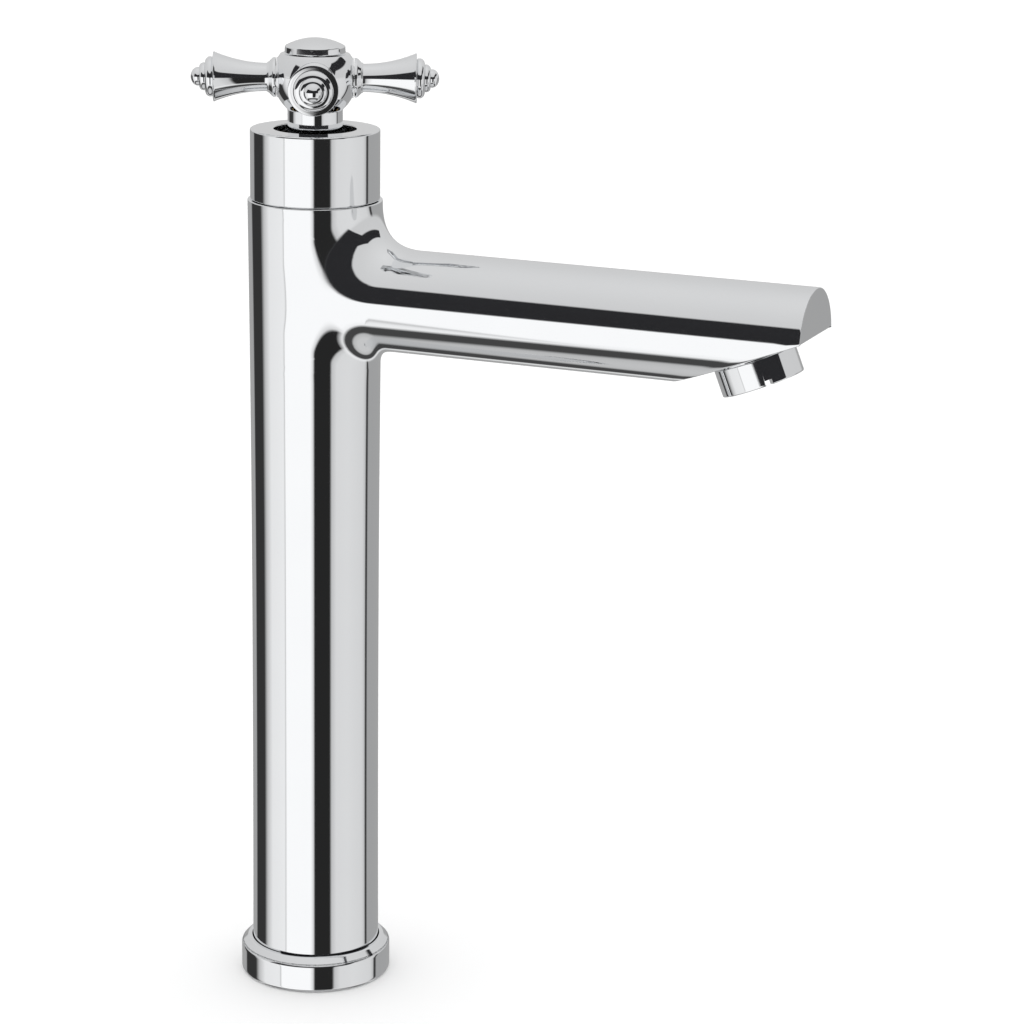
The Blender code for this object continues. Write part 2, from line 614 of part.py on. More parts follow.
# ---------------------------------------------------------------- cartridge
def port_tools(prefix, bottom, top, inlet_radius=INLET_PORT_RADIUS, outlet_radius=OUTLET_PORT_RADIUS):
    """Three round cutters, one for each water port."""
    tools = [rod("%s_%s" % (prefix, label), inlet_radius, bottom, top,
                 matrix=at(side * INLET_OFFSET[0], INLET_OFFSET[1]))
             for side, label in ((-1, "hot"), (1, "cold"))]
    tools.append(rod(prefix + "_outlet", outlet_radius, bottom, top, matrix=at(y=OUTLET_OFFSET)))
    return tools


def pin_matrix(side):
    """Place of a locating pin: near the cartridge's rim, towards the spout on either side."""
    return at(side * LOCATING_PIN_RING * math.cos(LOCATING_PIN_ANGLE),
              -LOCATING_PIN_RING * math.sin(LOCATING_PIN_ANGLE))


def make_cartridge_shell():
    """Base with its port seals and pins, fixed disc, and the stepped housing with its turn stop."""
    base = rod("cartridge_base", CARTRIDGE_RADIUS, BASE_BOTTOM, BASE_TOP, GREY_PLASTIC,
               steps=ROUND_STEPS)
    for side, label in ((-1, "left"), (1, "right")):
        join(base, rod(label + "_locating_pin", LOCATING_PIN_RADIUS, SEAT_Z - LOCATING_PIN_LENGTH,
                       BASE_BOTTOM + 0.001, steps=12,
                       matrix=pin_matrix(side)))
    cut(base, *port_tools("base_port", BASE_BOTTOM - CUT_OVERRUN, BASE_TOP + CUT_OVERRUN))
    groove_top = BASE_BOTTOM + SEAL_SECTION + CLEARANCE
    cut(base, *port_tools("seal_seat", BASE_BOTTOM - 0.0001, groove_top,
                          INLET_PORT_RADIUS + SEAL_SECTION + 2 * CLEARANCE,
                          OUTLET_PORT_RADIUS + SEAL_SECTION + 2 * CLEARANCE))
    for label, radius, x, y in (("hot", INLET_PORT_RADIUS, -INLET_OFFSET[0], INLET_OFFSET[1]),
                                ("cold", INLET_PORT_RADIUS, INLET_OFFSET[0], INLET_OFFSET[1]),
                                ("outlet", OUTLET_PORT_RADIUS, 0.0, OUTLET_OFFSET)):
        inner = radius + CLEARANCE
        tube_ring(label + "_port_seal", inner + SEAL_SECTION, inner, BASE_BOTTOM,
                  BASE_BOTTOM + SEAL_SECTION, RUBBER, at(x, y), steps=SMALL_STEPS)

    disc = rod("fixed_disc", FIXED_DISC_RADIUS, FIXED_BOTTOM, FIXED_TOP, CERAMIC, steps=ROUND_STEPS)
    cut(disc, *port_tools("disc_port", FIXED_BOTTOM - CUT_OVERRUN, FIXED_TOP + CUT_OVERRUN))

    step = CARRIAGE_BOTTOM + BORE_STEP_RISE
    lip_radius = BOSS_RADIUS + CLEARANCE
    housing = turned("cartridge_housing", [
        (lip_radius, HOUSING_TOP), (HOUSING_NECK_RADIUS, HOUSING_TOP),
        (HOUSING_NECK_RADIUS, HOUSING_SHOULDER), (CARTRIDGE_RADIUS, HOUSING_SHOULDER),
        (CARTRIDGE_RADIUS, BASE_TOP + CLEARANCE), (HOUSING_INNER_RADIUS, BASE_TOP + CLEARANCE),
        (HOUSING_INNER_RADIUS, step), (CARRIAGE_BORE_RADIUS, step),
        (CARRIAGE_BORE_RADIUS, LIP_BOTTOM), (lip_radius, LIP_BOTTOM)], GREY_PLASTIC, closed=True)
    centre = -math.pi / 2
    reach = TURN_HALF_RANGE + STOP_LUG_ANGLE / 2 + math.radians(2)
    stop = outline_solid("stop_slot", sector(BOSS_RADIUS - 0.001, STOP_LUG_RADIUS + CLEARANCE,
                                             centre - reach, centre + reach),
                         STOP_FLOOR, HOUSING_TOP + CUT_OVERRUN)
    cut(housing, stop)


def turning_frame():
    """Frame that turns with the handle: -Y is the way that the lever tilts."""
    return Matrix.Rotation(HANDLE_TURN, 4, "Z")


def make_turning_parts(carriage_axis):
    """Carriage with its stop lug and pin, and the disc with its carrier that slides in it."""
    frame = turning_frame()
    carriage = turned("lever_carriage", [
        (0.0, BOSS_TOP), (BOSS_RADIUS, BOSS_TOP), (BOSS_RADIUS, LIP_BOTTOM - CLEARANCE),
        (CARRIAGE_RADIUS, LIP_BOTTOM - CLEARANCE), (CARRIAGE_RADIUS, CARRIAGE_BOTTOM),
        (0.0, CARRIAGE_BOTTOM)], PLASTIC, frame, carriage_axis)
    centre = -math.pi / 2
    lug = outline_solid("stop_lug", sector(BOSS_RADIUS - 0.003, STOP_LUG_RADIUS,
                                           centre - STOP_LUG_ANGLE / 2, centre + STOP_LUG_ANGLE / 2, 4),
                        STOP_FLOOR + CLEARANCE, BOSS_TOP - CLEARANCE, matrix=frame)
    join(carriage, lug)
    ball_swing = (PIVOT_Z - CARRIAGE_BOTTOM) * math.tan(TILT_MAX)
    slot_back = ball_swing + STEM_NECK_RADIUS + SLOT_BACK_ROOM
    slot_half = STEM_RADIUS + CLEARANCE
    slot = block("lever_slot", (-slot_half, -slot_half - SLOT_FRONT_ROOM, CARRIAGE_BOTTOM - CUT_OVERRUN),
                 (slot_half, slot_back, BOSS_TOP + CUT_OVERRUN), frame)
    rail_half = CARRIER_RAIL_HALF_WIDTH + CLEARANCE
    rail_top = CARRIER_TOP + CARRIER_RAIL_HEIGHT + CLEARANCE
    groove = block("rail_groove", (-rail_half, -CARTRIDGE_RADIUS, CARRIAGE_BOTTOM - CUT_OVERRUN),
                   (rail_half, CARTRIDGE_RADIUS, rail_top), frame)
    pin_lie = at(z=PIVOT_Z) @ frame @ Matrix.Rotation(math.radians(90), 4, "Y")
    pin_half = BOSS_RADIUS - 2 * CLEARANCE
    cut(carriage, slot, groove,
        rod("pin_bore", PIN_RADIUS + CLEARANCE, -CARTRIDGE_RADIUS, CARTRIDGE_RADIUS, matrix=pin_lie))
    rod("lever_pin", PIN_RADIUS, -pin_half, pin_half, STEEL, pin_lie, carriage_axis)

    disc = rod("moving_disc", MOVING_DISC_RADIUS, MOVING_BOTTOM, MOVING_TOP, CERAMIC, frame,
               carriage_axis, steps=ROUND_STEPS)
    pocket = [share * MOVING_DISC_RADIUS for share in MIXING_POCKET]
    cut(disc, outline_solid("mixing_pocket", stadium(*pocket), MOVING_BOTTOM - CUT_OVERRUN,
                            MOVING_BOTTOM + POCKET_DEPTH_SHARE * DISC_THICKNESS, matrix=frame))
    carrier = rod("disc_carrier", MOVING_DISC_RADIUS, CARRIER_BOTTOM, CARRIER_TOP, PLASTIC, frame,
                  carriage_axis, steps=ROUND_STEPS)
    rail_end = math.sqrt(CARRIAGE_RADIUS ** 2 - CARRIER_RAIL_HALF_WIDTH ** 2) - DISC_TRAVEL - CLEARANCE
    join(carrier, block("carrier_rail", (-CARRIER_RAIL_HALF_WIDTH, -rail_end, CARRIER_TOP - SINK),
                        (CARRIER_RAIL_HALF_WIDTH, rail_end, CARRIER_TOP + CARRIER_RAIL_HEIGHT), frame))
    cut(carrier, rod("ball_socket", STEM_BALL_RADIUS + CLEARANCE, CARRIER_BOTTOM - CUT_OVERRUN,
                     CARRIER_TOP + CUT_OVERRUN, matrix=frame),
        rod("neck_relief", STEM_NECK_RADIUS + NECK_ROOM, CARRIER_TOP,
            CARRIER_TOP + CARRIER_RAIL_HEIGHT + CUT_OVERRUN, matrix=frame))


# ---------------------------------------------------------------- lever and handle
def make_stem(lever_axis):
    """Steel lever: ball end, waisted neck, round body with the pin bore, and a square top."""
    frame = turning_frame()
    shoulder = PIVOT_Z - STEM_RADIUS - PIN_RADIUS
    arc = 5
    body_top = NECK_BOTTOM - STEM_SQUARE_GAP
    outline = [(0.0, body_top), (STEM_RADIUS, body_top), (STEM_RADIUS, shoulder),
               (STEM_NECK_RADIUS, shoulder - NECK_TAPER)]
    start = math.asin(STEM_NECK_RADIUS / STEM_BALL_RADIUS)
    for i in range(arc):
        a = start + (math.pi - start) * i / arc
        outline.append((STEM_BALL_RADIUS * math.sin(a), BALL_Z + STEM_BALL_RADIUS * math.cos(a)))
    outline.append((0.0, BALL_Z - STEM_BALL_RADIUS))
    stem = turned("lever_stem", outline, STEEL, frame, lever_axis, steps=SMALL_STEPS)
    square = STEM_SQUARE_HALF
    join(stem, block("stem_square", (-square, -square, body_top - SINK), (square, square, STEM_TOP), frame))
    pin_lie = at(z=PIVOT_Z) @ frame @ Matrix.Rotation(math.radians(90), 4, "Y")
    cut(stem, rod("stem_pin_bore", PIN_RADIUS + CLEARANCE, -CARTRIDGE_RADIUS, CARTRIDGE_RADIUS,
                  matrix=pin_lie),
        rod("stem_screw_hole", SCREW_SHANK_RADIUS + CLEARANCE,
            SHANK_BOTTOM - SINK, STEM_TOP + CUT_OVERRUN, matrix=frame, steps=12))
    smooth(stem)


def make_hub(lever_axis):
    """Round hub on a straight neck, with a flat joint face for each arm."""
    frame = turning_frame()
    arc = 10
    top_angle = math.acos(HUB_TOP_RISE / HUB_RADIUS)
    neck_angle = math.pi - math.asin(NECK_RADIUS / HUB_RADIUS)
    outline = [(0.0, HUB_TOP)]
    for i in range(arc + 1):
        a = top_angle + (neck_angle - top_angle) * i / arc
        outline.append((HUB_RADIUS * math.sin(a), HUB_Z + HUB_RADIUS * math.cos(a)))
    outline += [(NECK_RADIUS, NECK_BOTTOM), (0.0, NECK_BOTTOM)]
    hub = turned("handle_hub", outline, CHROME, frame, lever_axis)
    for label, turn in (("across", 0), ("along", 90)):
        lie = at(z=HUB_Z) @ frame @ Matrix.Rotation(math.radians(turn), 4, "Z")
        lie = lie @ Matrix.Rotation(math.radians(90), 4, "Y")
        reach = ARM_SEAT + CUT_OVERRUN
        join(hub, rod("boss_" + label, ARM_COLLAR_RADIUS, -reach, reach, matrix=lie, steps=MIDDLE_STEPS))
    for turn in (0, 90, 180, 270):
        lie = arm_matrix(turn)
        cut(hub, rod("arm_socket_%d" % turn, ARM_SPIGOT_RADIUS + CLEARANCE,
                     ARM_SEAT - ARM_SPIGOT_LENGTH - CLEARANCE, ARM_SEAT + CUT_OVERRUN, matrix=lie),
            rod("arm_face_%d" % turn, ARM_COLLAR_RADIUS + CLEARANCE, ARM_SEAT, HUB_RADIUS + 2 * CUT_OVERRUN,
                matrix=lie, steps=MIDDLE_STEPS))
    square = STEM_SQUARE_HALF + CLEARANCE
    cut(hub, block("hub_square", (-square, -square, NECK_BOTTOM - CUT_OVERRUN),
                   (square, square, STEM_TOP + CLEARANCE), frame),
        rod("hub_counterbore", BUTTON_PLUG_RADIUS + CLEARANCE, STEM_TOP + HUB_WEB,
            HUB_TOP + CUT_OVERRUN, matrix=frame, steps=MIDDLE_STEPS),
        rod("hub_screw_hole", SCREW_SHANK_RADIUS + CLEARANCE, STEM_TOP - CUT_OVERRUN,
            STEM_TOP + HUB_WEB + CUT_OVERRUN, matrix=frame, steps=16))
    smooth(hub)


def arm_matrix(turn):
    """Place of an arm: its own Z axis runs outwards at the arm height."""
    outward = Matrix.Rotation(HANDLE_TURN + math.radians(turn), 4, "Z")
    return at(z=HUB_Z) @ outward @ Matrix.Rotation(math.radians(90), 4, "X")


def arm_outline():
    """Profile of an arm from its tip inwards: beads, flare, trumpet, waist, collar and spigot."""
    flare = ARM_REACH - sum(BEAD_LENGTHS)
    seat = ARM_SEAT + CLEARANCE
    outline = [(0.0, ARM_REACH)]
    top = ARM_REACH
    for radius, length in reversed(list(zip(BEAD_RADII, BEAD_LENGTHS))):
        for share in (0.2, 0.8):
            swell = math.sqrt(1 - (2 * share - 1) ** 2)
            outline.append((radius * (0.6 + 0.5 * swell), top - share * length))
        top -= length
    outline += [(ARM_FLARE_RADIUS - 0.0006, flare), (ARM_FLARE_RADIUS, flare - 0.0006)]
    waist = seat + 0.0033
    for i in range(1, 5):
        share = i / 4
        radius = ARM_WAIST_RADIUS + (ARM_FLARE_RADIUS - ARM_WAIST_RADIUS) * (1 - share) ** 2.2
        outline.append((radius, flare - 0.0006 + (waist - flare + 0.0006) * share))
    outline += [(ARM_COLLAR_RADIUS, seat + 0.0008), (ARM_COLLAR_RADIUS, seat),
                (ARM_SPIGOT_RADIUS, seat), (ARM_SPIGOT_RADIUS, ARM_SEAT - ARM_SPIGOT_LENGTH),
                (0.0, ARM_SEAT - ARM_SPIGOT_LENGTH)]
    return outline


def make_arms(lever_axis):
    """Four equal arms, named by their place at rest; the right one lies nearest to the spout."""
    for label, turn in (("right", 0), ("back", 90), ("left", 180), ("front", 270)):
        arm = turned("handle_arm_" + label, arm_outline(), CHROME, arm_matrix(turn), lever_axis,
                     steps=MIDDLE_STEPS)
        smooth(arm)


def make_button(lever_axis):
    """Plain domed button over the screw that holds the handle on the lever."""
    frame = turning_frame()
    bottom = HUB_TOP + CLEARANCE
    edge = bottom + 0.5 * BUTTON_HEIGHT
    turned("index_button", [
        (0.0, bottom + BUTTON_HEIGHT), (0.45 * BUTTON_RADIUS, bottom + 0.94 * BUTTON_HEIGHT),
        (0.80 * BUTTON_RADIUS, bottom + 0.76 * BUTTON_HEIGHT), (BUTTON_RADIUS, edge),
        (BUTTON_RADIUS, bottom), (BUTTON_PLUG_RADIUS, bottom),
        (BUTTON_PLUG_RADIUS, bottom - BUTTON_PLUG_LENGTH),
        (0.0, bottom - BUTTON_PLUG_LENGTH)], CHROME, frame, lever_axis)
    seat = STEM_TOP + HUB_WEB + CLEARANCE
    screw = rod("handle_screw", SCREW_HEAD_RADIUS, seat, seat + SCREW_HEAD_HEIGHT, STEEL, frame, lever_axis)
    join(screw, rod("screw_shank", SCREW_SHANK_RADIUS, SHANK_BOTTOM, seat + SINK, matrix=frame, steps=12))
    cut(screw, rod("hex_recess", HEX_RADIUS, seat + HEX_FLOOR, seat + SCREW_HEAD_HEIGHT + CUT_OVERRUN,
                   matrix=frame, steps=6))


# ---------------------------------------------------------------- aerator
def make_aerator():
    """Threaded shell with its spanner notch, washer, cage and screen."""
    frame = slant_frame()
    rim = 2 * CLEARANCE
    bottom = rim + AERATOR_HEIGHT
    lip = AERATOR_BORE_RADIUS - AERATOR_LIP
    lip_top = bottom - AERATOR_LIP_THICKNESS
    shell = turned("aerator_shell", [
        (lip, bottom), (AERATOR_RADIUS - AERATOR_EDGE_ROUND, bottom),
        (AERATOR_RADIUS, bottom - AERATOR_EDGE_ROUND), (AERATOR_RADIUS, rim + AERATOR_EDGE_ROUND),
        (AERATOR_RADIUS - AERATOR_EDGE_ROUND, rim), (AERATOR_THREAD_RADIUS, rim),
        (AERATOR_THREAD_RADIUS, -AERATOR_THREAD_HEIGHT), (AERATOR_BORE_RADIUS, -AERATOR_THREAD_HEIGHT),
        (AERATOR_BORE_RADIUS, lip_top), (lip, lip_top)], CHROME, frame, closed=True)
    notch = block("spanner_notch", (-0.5 * AERATOR_NOTCH_WIDTH, 0.0, bottom - AERATOR_NOTCH_HEIGHT),
                  (0.5 * AERATOR_NOTCH_WIDTH, 2 * AERATOR_RADIUS, bottom + CUT_OVERRUN),
                  frame @ Matrix.Rotation(AERATOR_NOTCH_ANGLE, 4, "Z"))
    cut(shell, notch)
    smooth(shell)

    seat = -AERATOR_THREAD_HEIGHT - WASHER_SPACE
    washer_outer = AERATOR_THREAD_RADIUS - CLEARANCE
    tube_ring("aerator_washer", washer_outer, washer_outer - WASHER_WIDTH, seat + CLEARANCE,
              -AERATOR_THREAD_HEIGHT - CLEARANCE, RUBBER, frame)
    cage_radius = AERATOR_BORE_RADIUS - CLEARANCE
    cage_top = -AERATOR_THREAD_HEIGHT + SCREEN_THICKNESS + CLEARANCE
    cage_bottom = lip_top - CLEARANCE
    cage = rod("aerator_cage", cage_radius, cage_top, cage_bottom, GREY_PLASTIC, frame, steps=MIDDLE_STEPS)
    screen = rod("aerator_screen", cage_radius, -AERATOR_THREAD_HEIGHT, -AERATOR_THREAD_HEIGHT +
                 SCREEN_THICKNESS, STEEL, frame, steps=MIDDLE_STEPS)
    holes = [(0.0, 0.0)]
    for i in range(JET_COUNT):
        a = math.tau * i / JET_COUNT
        holes.append((JET_RING_RADIUS * math.cos(a), JET_RING_RADIUS * math.sin(a)))
    for number, (x, y) in enumerate(holes):
        cut(cage, rod("jet_%d" % number, JET_RADIUS, cage_top - CUT_OVERRUN, cage_bottom + CUT_OVERRUN,
                      matrix=frame @ at(x, y), steps=8))
        cut(screen, rod("mesh_hole_%d" % number, MESH_HOLE_RADIUS, -AERATOR_THREAD_HEIGHT - CUT_OVERRUN,
                        -AERATOR_THREAD_HEIGHT + SCREEN_THICKNESS + CUT_OVERRUN,
                        matrix=frame @ at(x, y), steps=8))


def axis_empty(name, height, matrix=None):
    """Empty on a joint's axis that its moving pieces are parented to."""
    marker = bpy.data.objects.new(name, None)
    PARTS.objects.link(marker)
    marker.matrix_world = at(z=height) @ (matrix or Matrix.Identity(4))
    bpy.context.view_layer.update()
    return marker


def main():
    make_body()
    make_base()
    make_cap()
    make_cartridge_shell()
    turn_axis = axis_empty("temperature_axis", CARRIAGE_BOTTOM)
    tilt_axis = axis_empty("flow_axis", PIVOT_Z, turning_frame())
    make_turning_parts(turn_axis)
    make_stem(tilt_axis)
    make_hub(tilt_axis)
    make_arms(tilt_axis)
    make_button(tilt_axis)
    make_aerator()


main()
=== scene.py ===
"""Looks of a single-handle basin mixer: polished column and spout, cap, cross handle and aerator.

Each visible casting is one closed surface computed with numpy in metres, in the same frame as the
CAD part.  The pieces inside the valve keep their CAD solids and get a finish of their own.
"""
import json
import logging
import math
from dataclasses import dataclass
from enum import Enum

import bmesh
import bpy
import numpy as np
from bpy.types import Material, Mesh, Node, NodeSocket, NodeTree
from mathutils import Matrix, Vector


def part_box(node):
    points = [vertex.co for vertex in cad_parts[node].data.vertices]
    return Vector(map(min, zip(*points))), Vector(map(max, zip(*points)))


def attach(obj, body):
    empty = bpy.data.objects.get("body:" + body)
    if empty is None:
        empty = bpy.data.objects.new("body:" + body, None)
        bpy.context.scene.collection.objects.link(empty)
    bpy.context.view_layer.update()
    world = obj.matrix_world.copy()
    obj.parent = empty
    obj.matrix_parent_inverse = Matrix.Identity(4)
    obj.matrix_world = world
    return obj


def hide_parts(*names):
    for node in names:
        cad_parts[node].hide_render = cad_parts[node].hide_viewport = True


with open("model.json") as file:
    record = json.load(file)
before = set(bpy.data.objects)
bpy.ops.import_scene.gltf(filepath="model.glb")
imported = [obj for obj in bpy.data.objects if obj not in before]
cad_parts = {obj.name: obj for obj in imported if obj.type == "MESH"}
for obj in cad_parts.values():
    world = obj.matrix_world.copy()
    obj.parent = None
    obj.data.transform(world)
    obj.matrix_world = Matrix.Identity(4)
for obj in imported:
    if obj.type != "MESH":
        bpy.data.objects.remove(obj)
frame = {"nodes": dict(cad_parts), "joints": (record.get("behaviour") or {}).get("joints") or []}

LOG = logging.getLogger("mixer")
MM = 0.001
CLEARANCE = 0.3 * MM
WELD = 0.002 * MM
SHARP_ANGLE = math.radians(50)
TURNED_COLUMNS = 224
ARM_COLUMNS = 96
BUTTON_COLUMNS = 128
INSERT_COLUMNS = 96
SCREEN_GAMMA = 2.2
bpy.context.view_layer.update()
Value = float | NodeSocket
Colour = tuple[float, ...] | NodeSocket


class Body(Enum):
    """Moving bodies of the part."""

    ROOT = "root"
    LEVER = "lever"


class Slot(Enum):
    """Material slots of the record."""

    CHROME = "chrome_plate"
    PLASTIC = "grey_acetal"


# ---------------------------------------------------------------- meshes
class Skin:
    """Grids of points that are welded into one closed mesh."""

    def __init__(self, *grids: np.ndarray) -> None:
        """Start with closed rings of columns, if any are given."""
        self.points: list[np.ndarray] = []
        self.quads: list[np.ndarray] = []
        self.count = 0
        for points in grids:
            self.grid(points)

    def grid(self, points: np.ndarray, wrap: bool = True) -> None:
        """Add a grid of quads between neighbouring rows and columns.

        Args:
            points: Array of rows x columns x 3.
            wrap: Whether the last column joins the first one.
        """
        rows, columns = points.shape[:2]
        index = self.count + np.arange(rows * columns).reshape(rows, columns)
        if wrap:
            index = np.concatenate([index, index[:, :1]], axis=1)
        corners = (index[:-1, :-1], index[:-1, 1:], index[1:, 1:], index[1:, :-1])
        self.quads.append(np.stack(corners, axis=-1).reshape(-1, 4))
        self.points.append(points.reshape(-1, 3))
        self.count += rows * columns

    def mesh(self, name: str) -> Mesh:
        """Weld the grids, turn the faces outwards and return the mesh.

        Args:
            name: Name of the mesh.

        Returns:
            The closed mesh, shaded smooth.
        """
        made = bpy.data.meshes.new(name)
        made.from_pydata(np.concatenate(self.points), [], np.concatenate(self.quads))
        work = bmesh.new()
        work.from_mesh(made)
        bmesh.ops.remove_doubles(work, verts=work.verts, dist=WELD)
        bmesh.ops.recalc_face_normals(work, faces=work.faces)
        work.to_mesh(made)
        work.free()
        made.shade_smooth()
        made.set_sharp_from_angle(angle=SHARP_ANGLE)
        return made


def quadratic(start: np.ndarray, lean: np.ndarray, end: np.ndarray, share: np.ndarray) -> np.ndarray:
    """Curve from start to end that leans towards a point, at shares from 0 to 1."""
    return (1 - share) ** 2 * start + 2 * share * (1 - share) * lean + share ** 2 * end


def rounded_line(corners: list[tuple[float, float, float]], steps: int = 5,
                 hold: float = 0.25 * MM) -> np.ndarray:
    """Polyline with soft corners.

    Each corner is a quadratic curve between two points at its radius before and after it, and a
    support point stands a little further along each straight, so that flats shade flat.

    Args:
        corners: (radius, height, corner radius) of each corner.
        steps: Points along each soft corner.
        hold: Distance of the support points from a soft corner.

    Returns:
        Array of points x 2.
    """
    points = np.array([corner[:2] for corner in corners])
    share = np.linspace(0.0, 1.0, steps)[:, None]
    line = [points[:1]]
    for number in range(1, len(corners) - 1):
        here, size = points[number], corners[number][2]
        if size == 0.0:
            line.append(here[None])
            continue
        before, after = points[number - 1] - here, points[number + 1] - here
        before, after = before / np.linalg.norm(before), after / np.linalg.norm(after)
        start, end = here + before * size, here + after * size
        line += [start[None] + before * hold, quadratic(start, here, end, share),
                 end[None] + after * hold]
    line.append(points[-1:])
    return np.concatenate(line)


def arc(centre: tuple[float, float], radii: tuple[float, float], start: float, end: float,
        steps: int) -> np.ndarray:
    """Elliptical arc: centre + (radius_r cos a, radius_z sin a), angles in degrees.

    Args:
        centre: (radius, height) of the centre.
        radii: Half sizes across and along.
        start: First angle.
        end: Last angle.
        steps: Number of points.

    Returns:
        Array of points x 2.
    """
    angle = np.radians(np.linspace(start, end, steps))
    return np.array(centre) + np.array(radii) * np.stack([np.cos(angle), np.sin(angle)], axis=1)


def lathe(profile: np.ndarray, columns: int | np.ndarray, place: Matrix | None = None) -> np.ndarray:
    """Turn a profile about Z: (r cos a, r sin a, z) for every profile point and angle.

    Args:
        profile: (radius, height) points.
        columns: Number of even columns, or the angle of each column.
        place: Where the turned shape stands.

    Returns:
        Grid of profile points x columns x 3.
    """
    angles = np.arange(columns) * math.tau / columns if isinstance(columns, int) else columns
    radius, height = profile[:, :1], profile[:, 1:]
    grid = np.stack([radius * np.cos(angles), radius * np.sin(angles),
                     height * np.ones_like(angles)], axis=-1)
    return move(grid, place) if place else grid


def move(points: np.ndarray, place: Matrix) -> np.ndarray:
    """Points after a 4x4 placement."""
    matrix = np.array(place)
    return points @ matrix[:3, :3].T + matrix[:3, 3]


def unit(vectors: np.ndarray) -> np.ndarray:
    """Vectors of length one."""
    return vectors / np.maximum(np.linalg.norm(vectors, axis=-1, keepdims=True), 1e-12)


def put(name: str, skin: Skin, material: Material, body: Body, node: str) -> None:
    """Link a finished piece, give it its finish and let it stand for its CAD nodes.

    Args:
        name: Name of the piece.
        skin: Its welded grids, in the row frame.
        material: Its finish.
        body: The body that it moves with.
        node: The CAD node that it stands for.
    """
    mesh = skin.mesh(name)
    piece = bpy.data.objects.new(name, mesh)
    bpy.context.scene.collection.objects.link(piece)
    mesh.materials.append(material)
    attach(piece, body.value)
    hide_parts(node)
    LOG.info("%s: %d faces", name, len(mesh.polygons))


# ---------------------------------------------------------------- finishes
def new_group(name: str, inputs: dict[str, float],
              *outputs: str) -> tuple[NodeTree, bpy.types.bpy_prop_collection, Node]:
    """Node group with float inputs and outputs.

    Args:
        name: Name of the group.
        inputs: Input names and their usual values.
        outputs: Output names.

    Returns:
        The tree, its input node's sockets by name, and its output node.
    """
    tree = bpy.data.node_groups.new(name, "ShaderNodeTree")
    for label, value in inputs.items():
        socket = tree.interface.new_socket(label, in_out="INPUT", socket_type="NodeSocketFloat")
        socket.default_value = value
    for label in outputs:
        tree.interface.new_socket(label, in_out="OUTPUT", socket_type="NodeSocketFloat")
    return tree, tree.nodes.new("NodeGroupInput").outputs, tree.nodes.new("NodeGroupOutput")


def feed(tree: NodeTree, node: Node, inputs: dict) -> None:
    """Link a node's inputs to sockets or set them to plain values.

    Args:
        tree: The node's tree.
        node: The node.
        inputs: Socket or value by input name or index.
    """
    for label, value in inputs.items():
        if isinstance(value, NodeSocket):
            tree.links.new(value, node.inputs[label])
        else:
            node.inputs[label].default_value = value


def add_node(tree: NodeTree, kind: str, inputs: dict | None = None) -> Node:
    """Shader node with its inputs fed.

    Args:
        tree: The tree that gets the node.
        kind: The node's kind, without the common prefix.
        inputs: Socket or value by input name or index.

    Returns:
        The node.
    """
    node = tree.nodes.new("ShaderNode" + kind)
    feed(tree, node, inputs or {})
    return node


def math_node(tree: NodeTree, operation: str, *values: Value, clamp: bool = False) -> NodeSocket:
    """Math node's output.

    Args:
        tree: The tree that gets the node.
        operation: The node's operation.
        values: Its inputs in order, as sockets or plain numbers.
        clamp: Whether the result is held between 0 and 1.

    Returns:
        The node's output socket.
    """
    node = add_node(tree, "Math", dict(enumerate(values)))
    node.operation, node.use_clamp = operation, clamp
    return node.outputs[0]


def blend(tree: NodeTree, mask: NodeSocket, first: Colour, second: Colour) -> NodeSocket:
    """Colour mix of two sockets or plain colours.

    Args:
        tree: The tree that gets the node.
        mask: Share of the second colour.
        first: Colour where the mask is 0.
        second: Colour where the mask is 1.

    Returns:
        The node's colour socket.
    """
    node = add_node(tree, "Mix")
    node.data_type = "RGBA"
    feed(tree, node, {"Factor": mask, "A": first, "B": second})
    return node.outputs["Result"]


def polish_group() -> NodeTree:
    """Group of hairlines and faint clouds that a cloth leaves on polished or machined metal.

    Hairlines are noise stretched along Z, and clouds are slow noise; both come out as masks from
    0 to 1, with a height that mixes them.
    """
    tree, entry, out = new_group("polish_marks", {"Hairline scale": 900.0, "Cloud scale": 60.0},
                                 "Hairlines", "Clouds", "Height")
    place = add_node(tree, "TexCoord").outputs["Object"]
    stretch = add_node(tree, "Mapping", {"Vector": place, "Scale": (0.06, 0.06, 1.0)})
    hair = add_node(tree, "TexNoise", {"Vector": stretch.outputs[0], "Detail": 2.0,
                                       "Scale": entry["Hairline scale"]}).outputs["Fac"]
    cloud = add_node(tree, "TexNoise", {"Vector": place, "Detail": 3.0,
                                        "Scale": entry["Cloud scale"]}).outputs["Fac"]
    feed(tree, out, {"Hairlines": hair, "Clouds": cloud,
                     "Height": math_node(tree, "MULTIPLY_ADD", hair, 0.25, cloud)})
    return tree


def speck_group() -> NodeTree:
    """Group of small round marks: a cell's distance, kept only under a size and in few cells."""
    tree, entry, out = new_group("dried_specks", {"Cells": 420.0, "Size": 0.16, "Share": 0.12}, "Mask")
    place = add_node(tree, "TexCoord").outputs["Object"]
    cell = add_node(tree, "TexVoronoi", {"Vector": place, "Scale": entry["Cells"]})
    split = add_node(tree, "SeparateColor", {0: cell.outputs["Color"]})
    chosen = math_node(tree, "LESS_THAN", split.outputs[0], entry["Share"])
    near = math_node(tree, "LESS_THAN", cell.outputs["Distance"], entry["Size"])
    feed(tree, out, {"Mask": math_node(tree, "MULTIPLY", chosen, near)})
    return tree


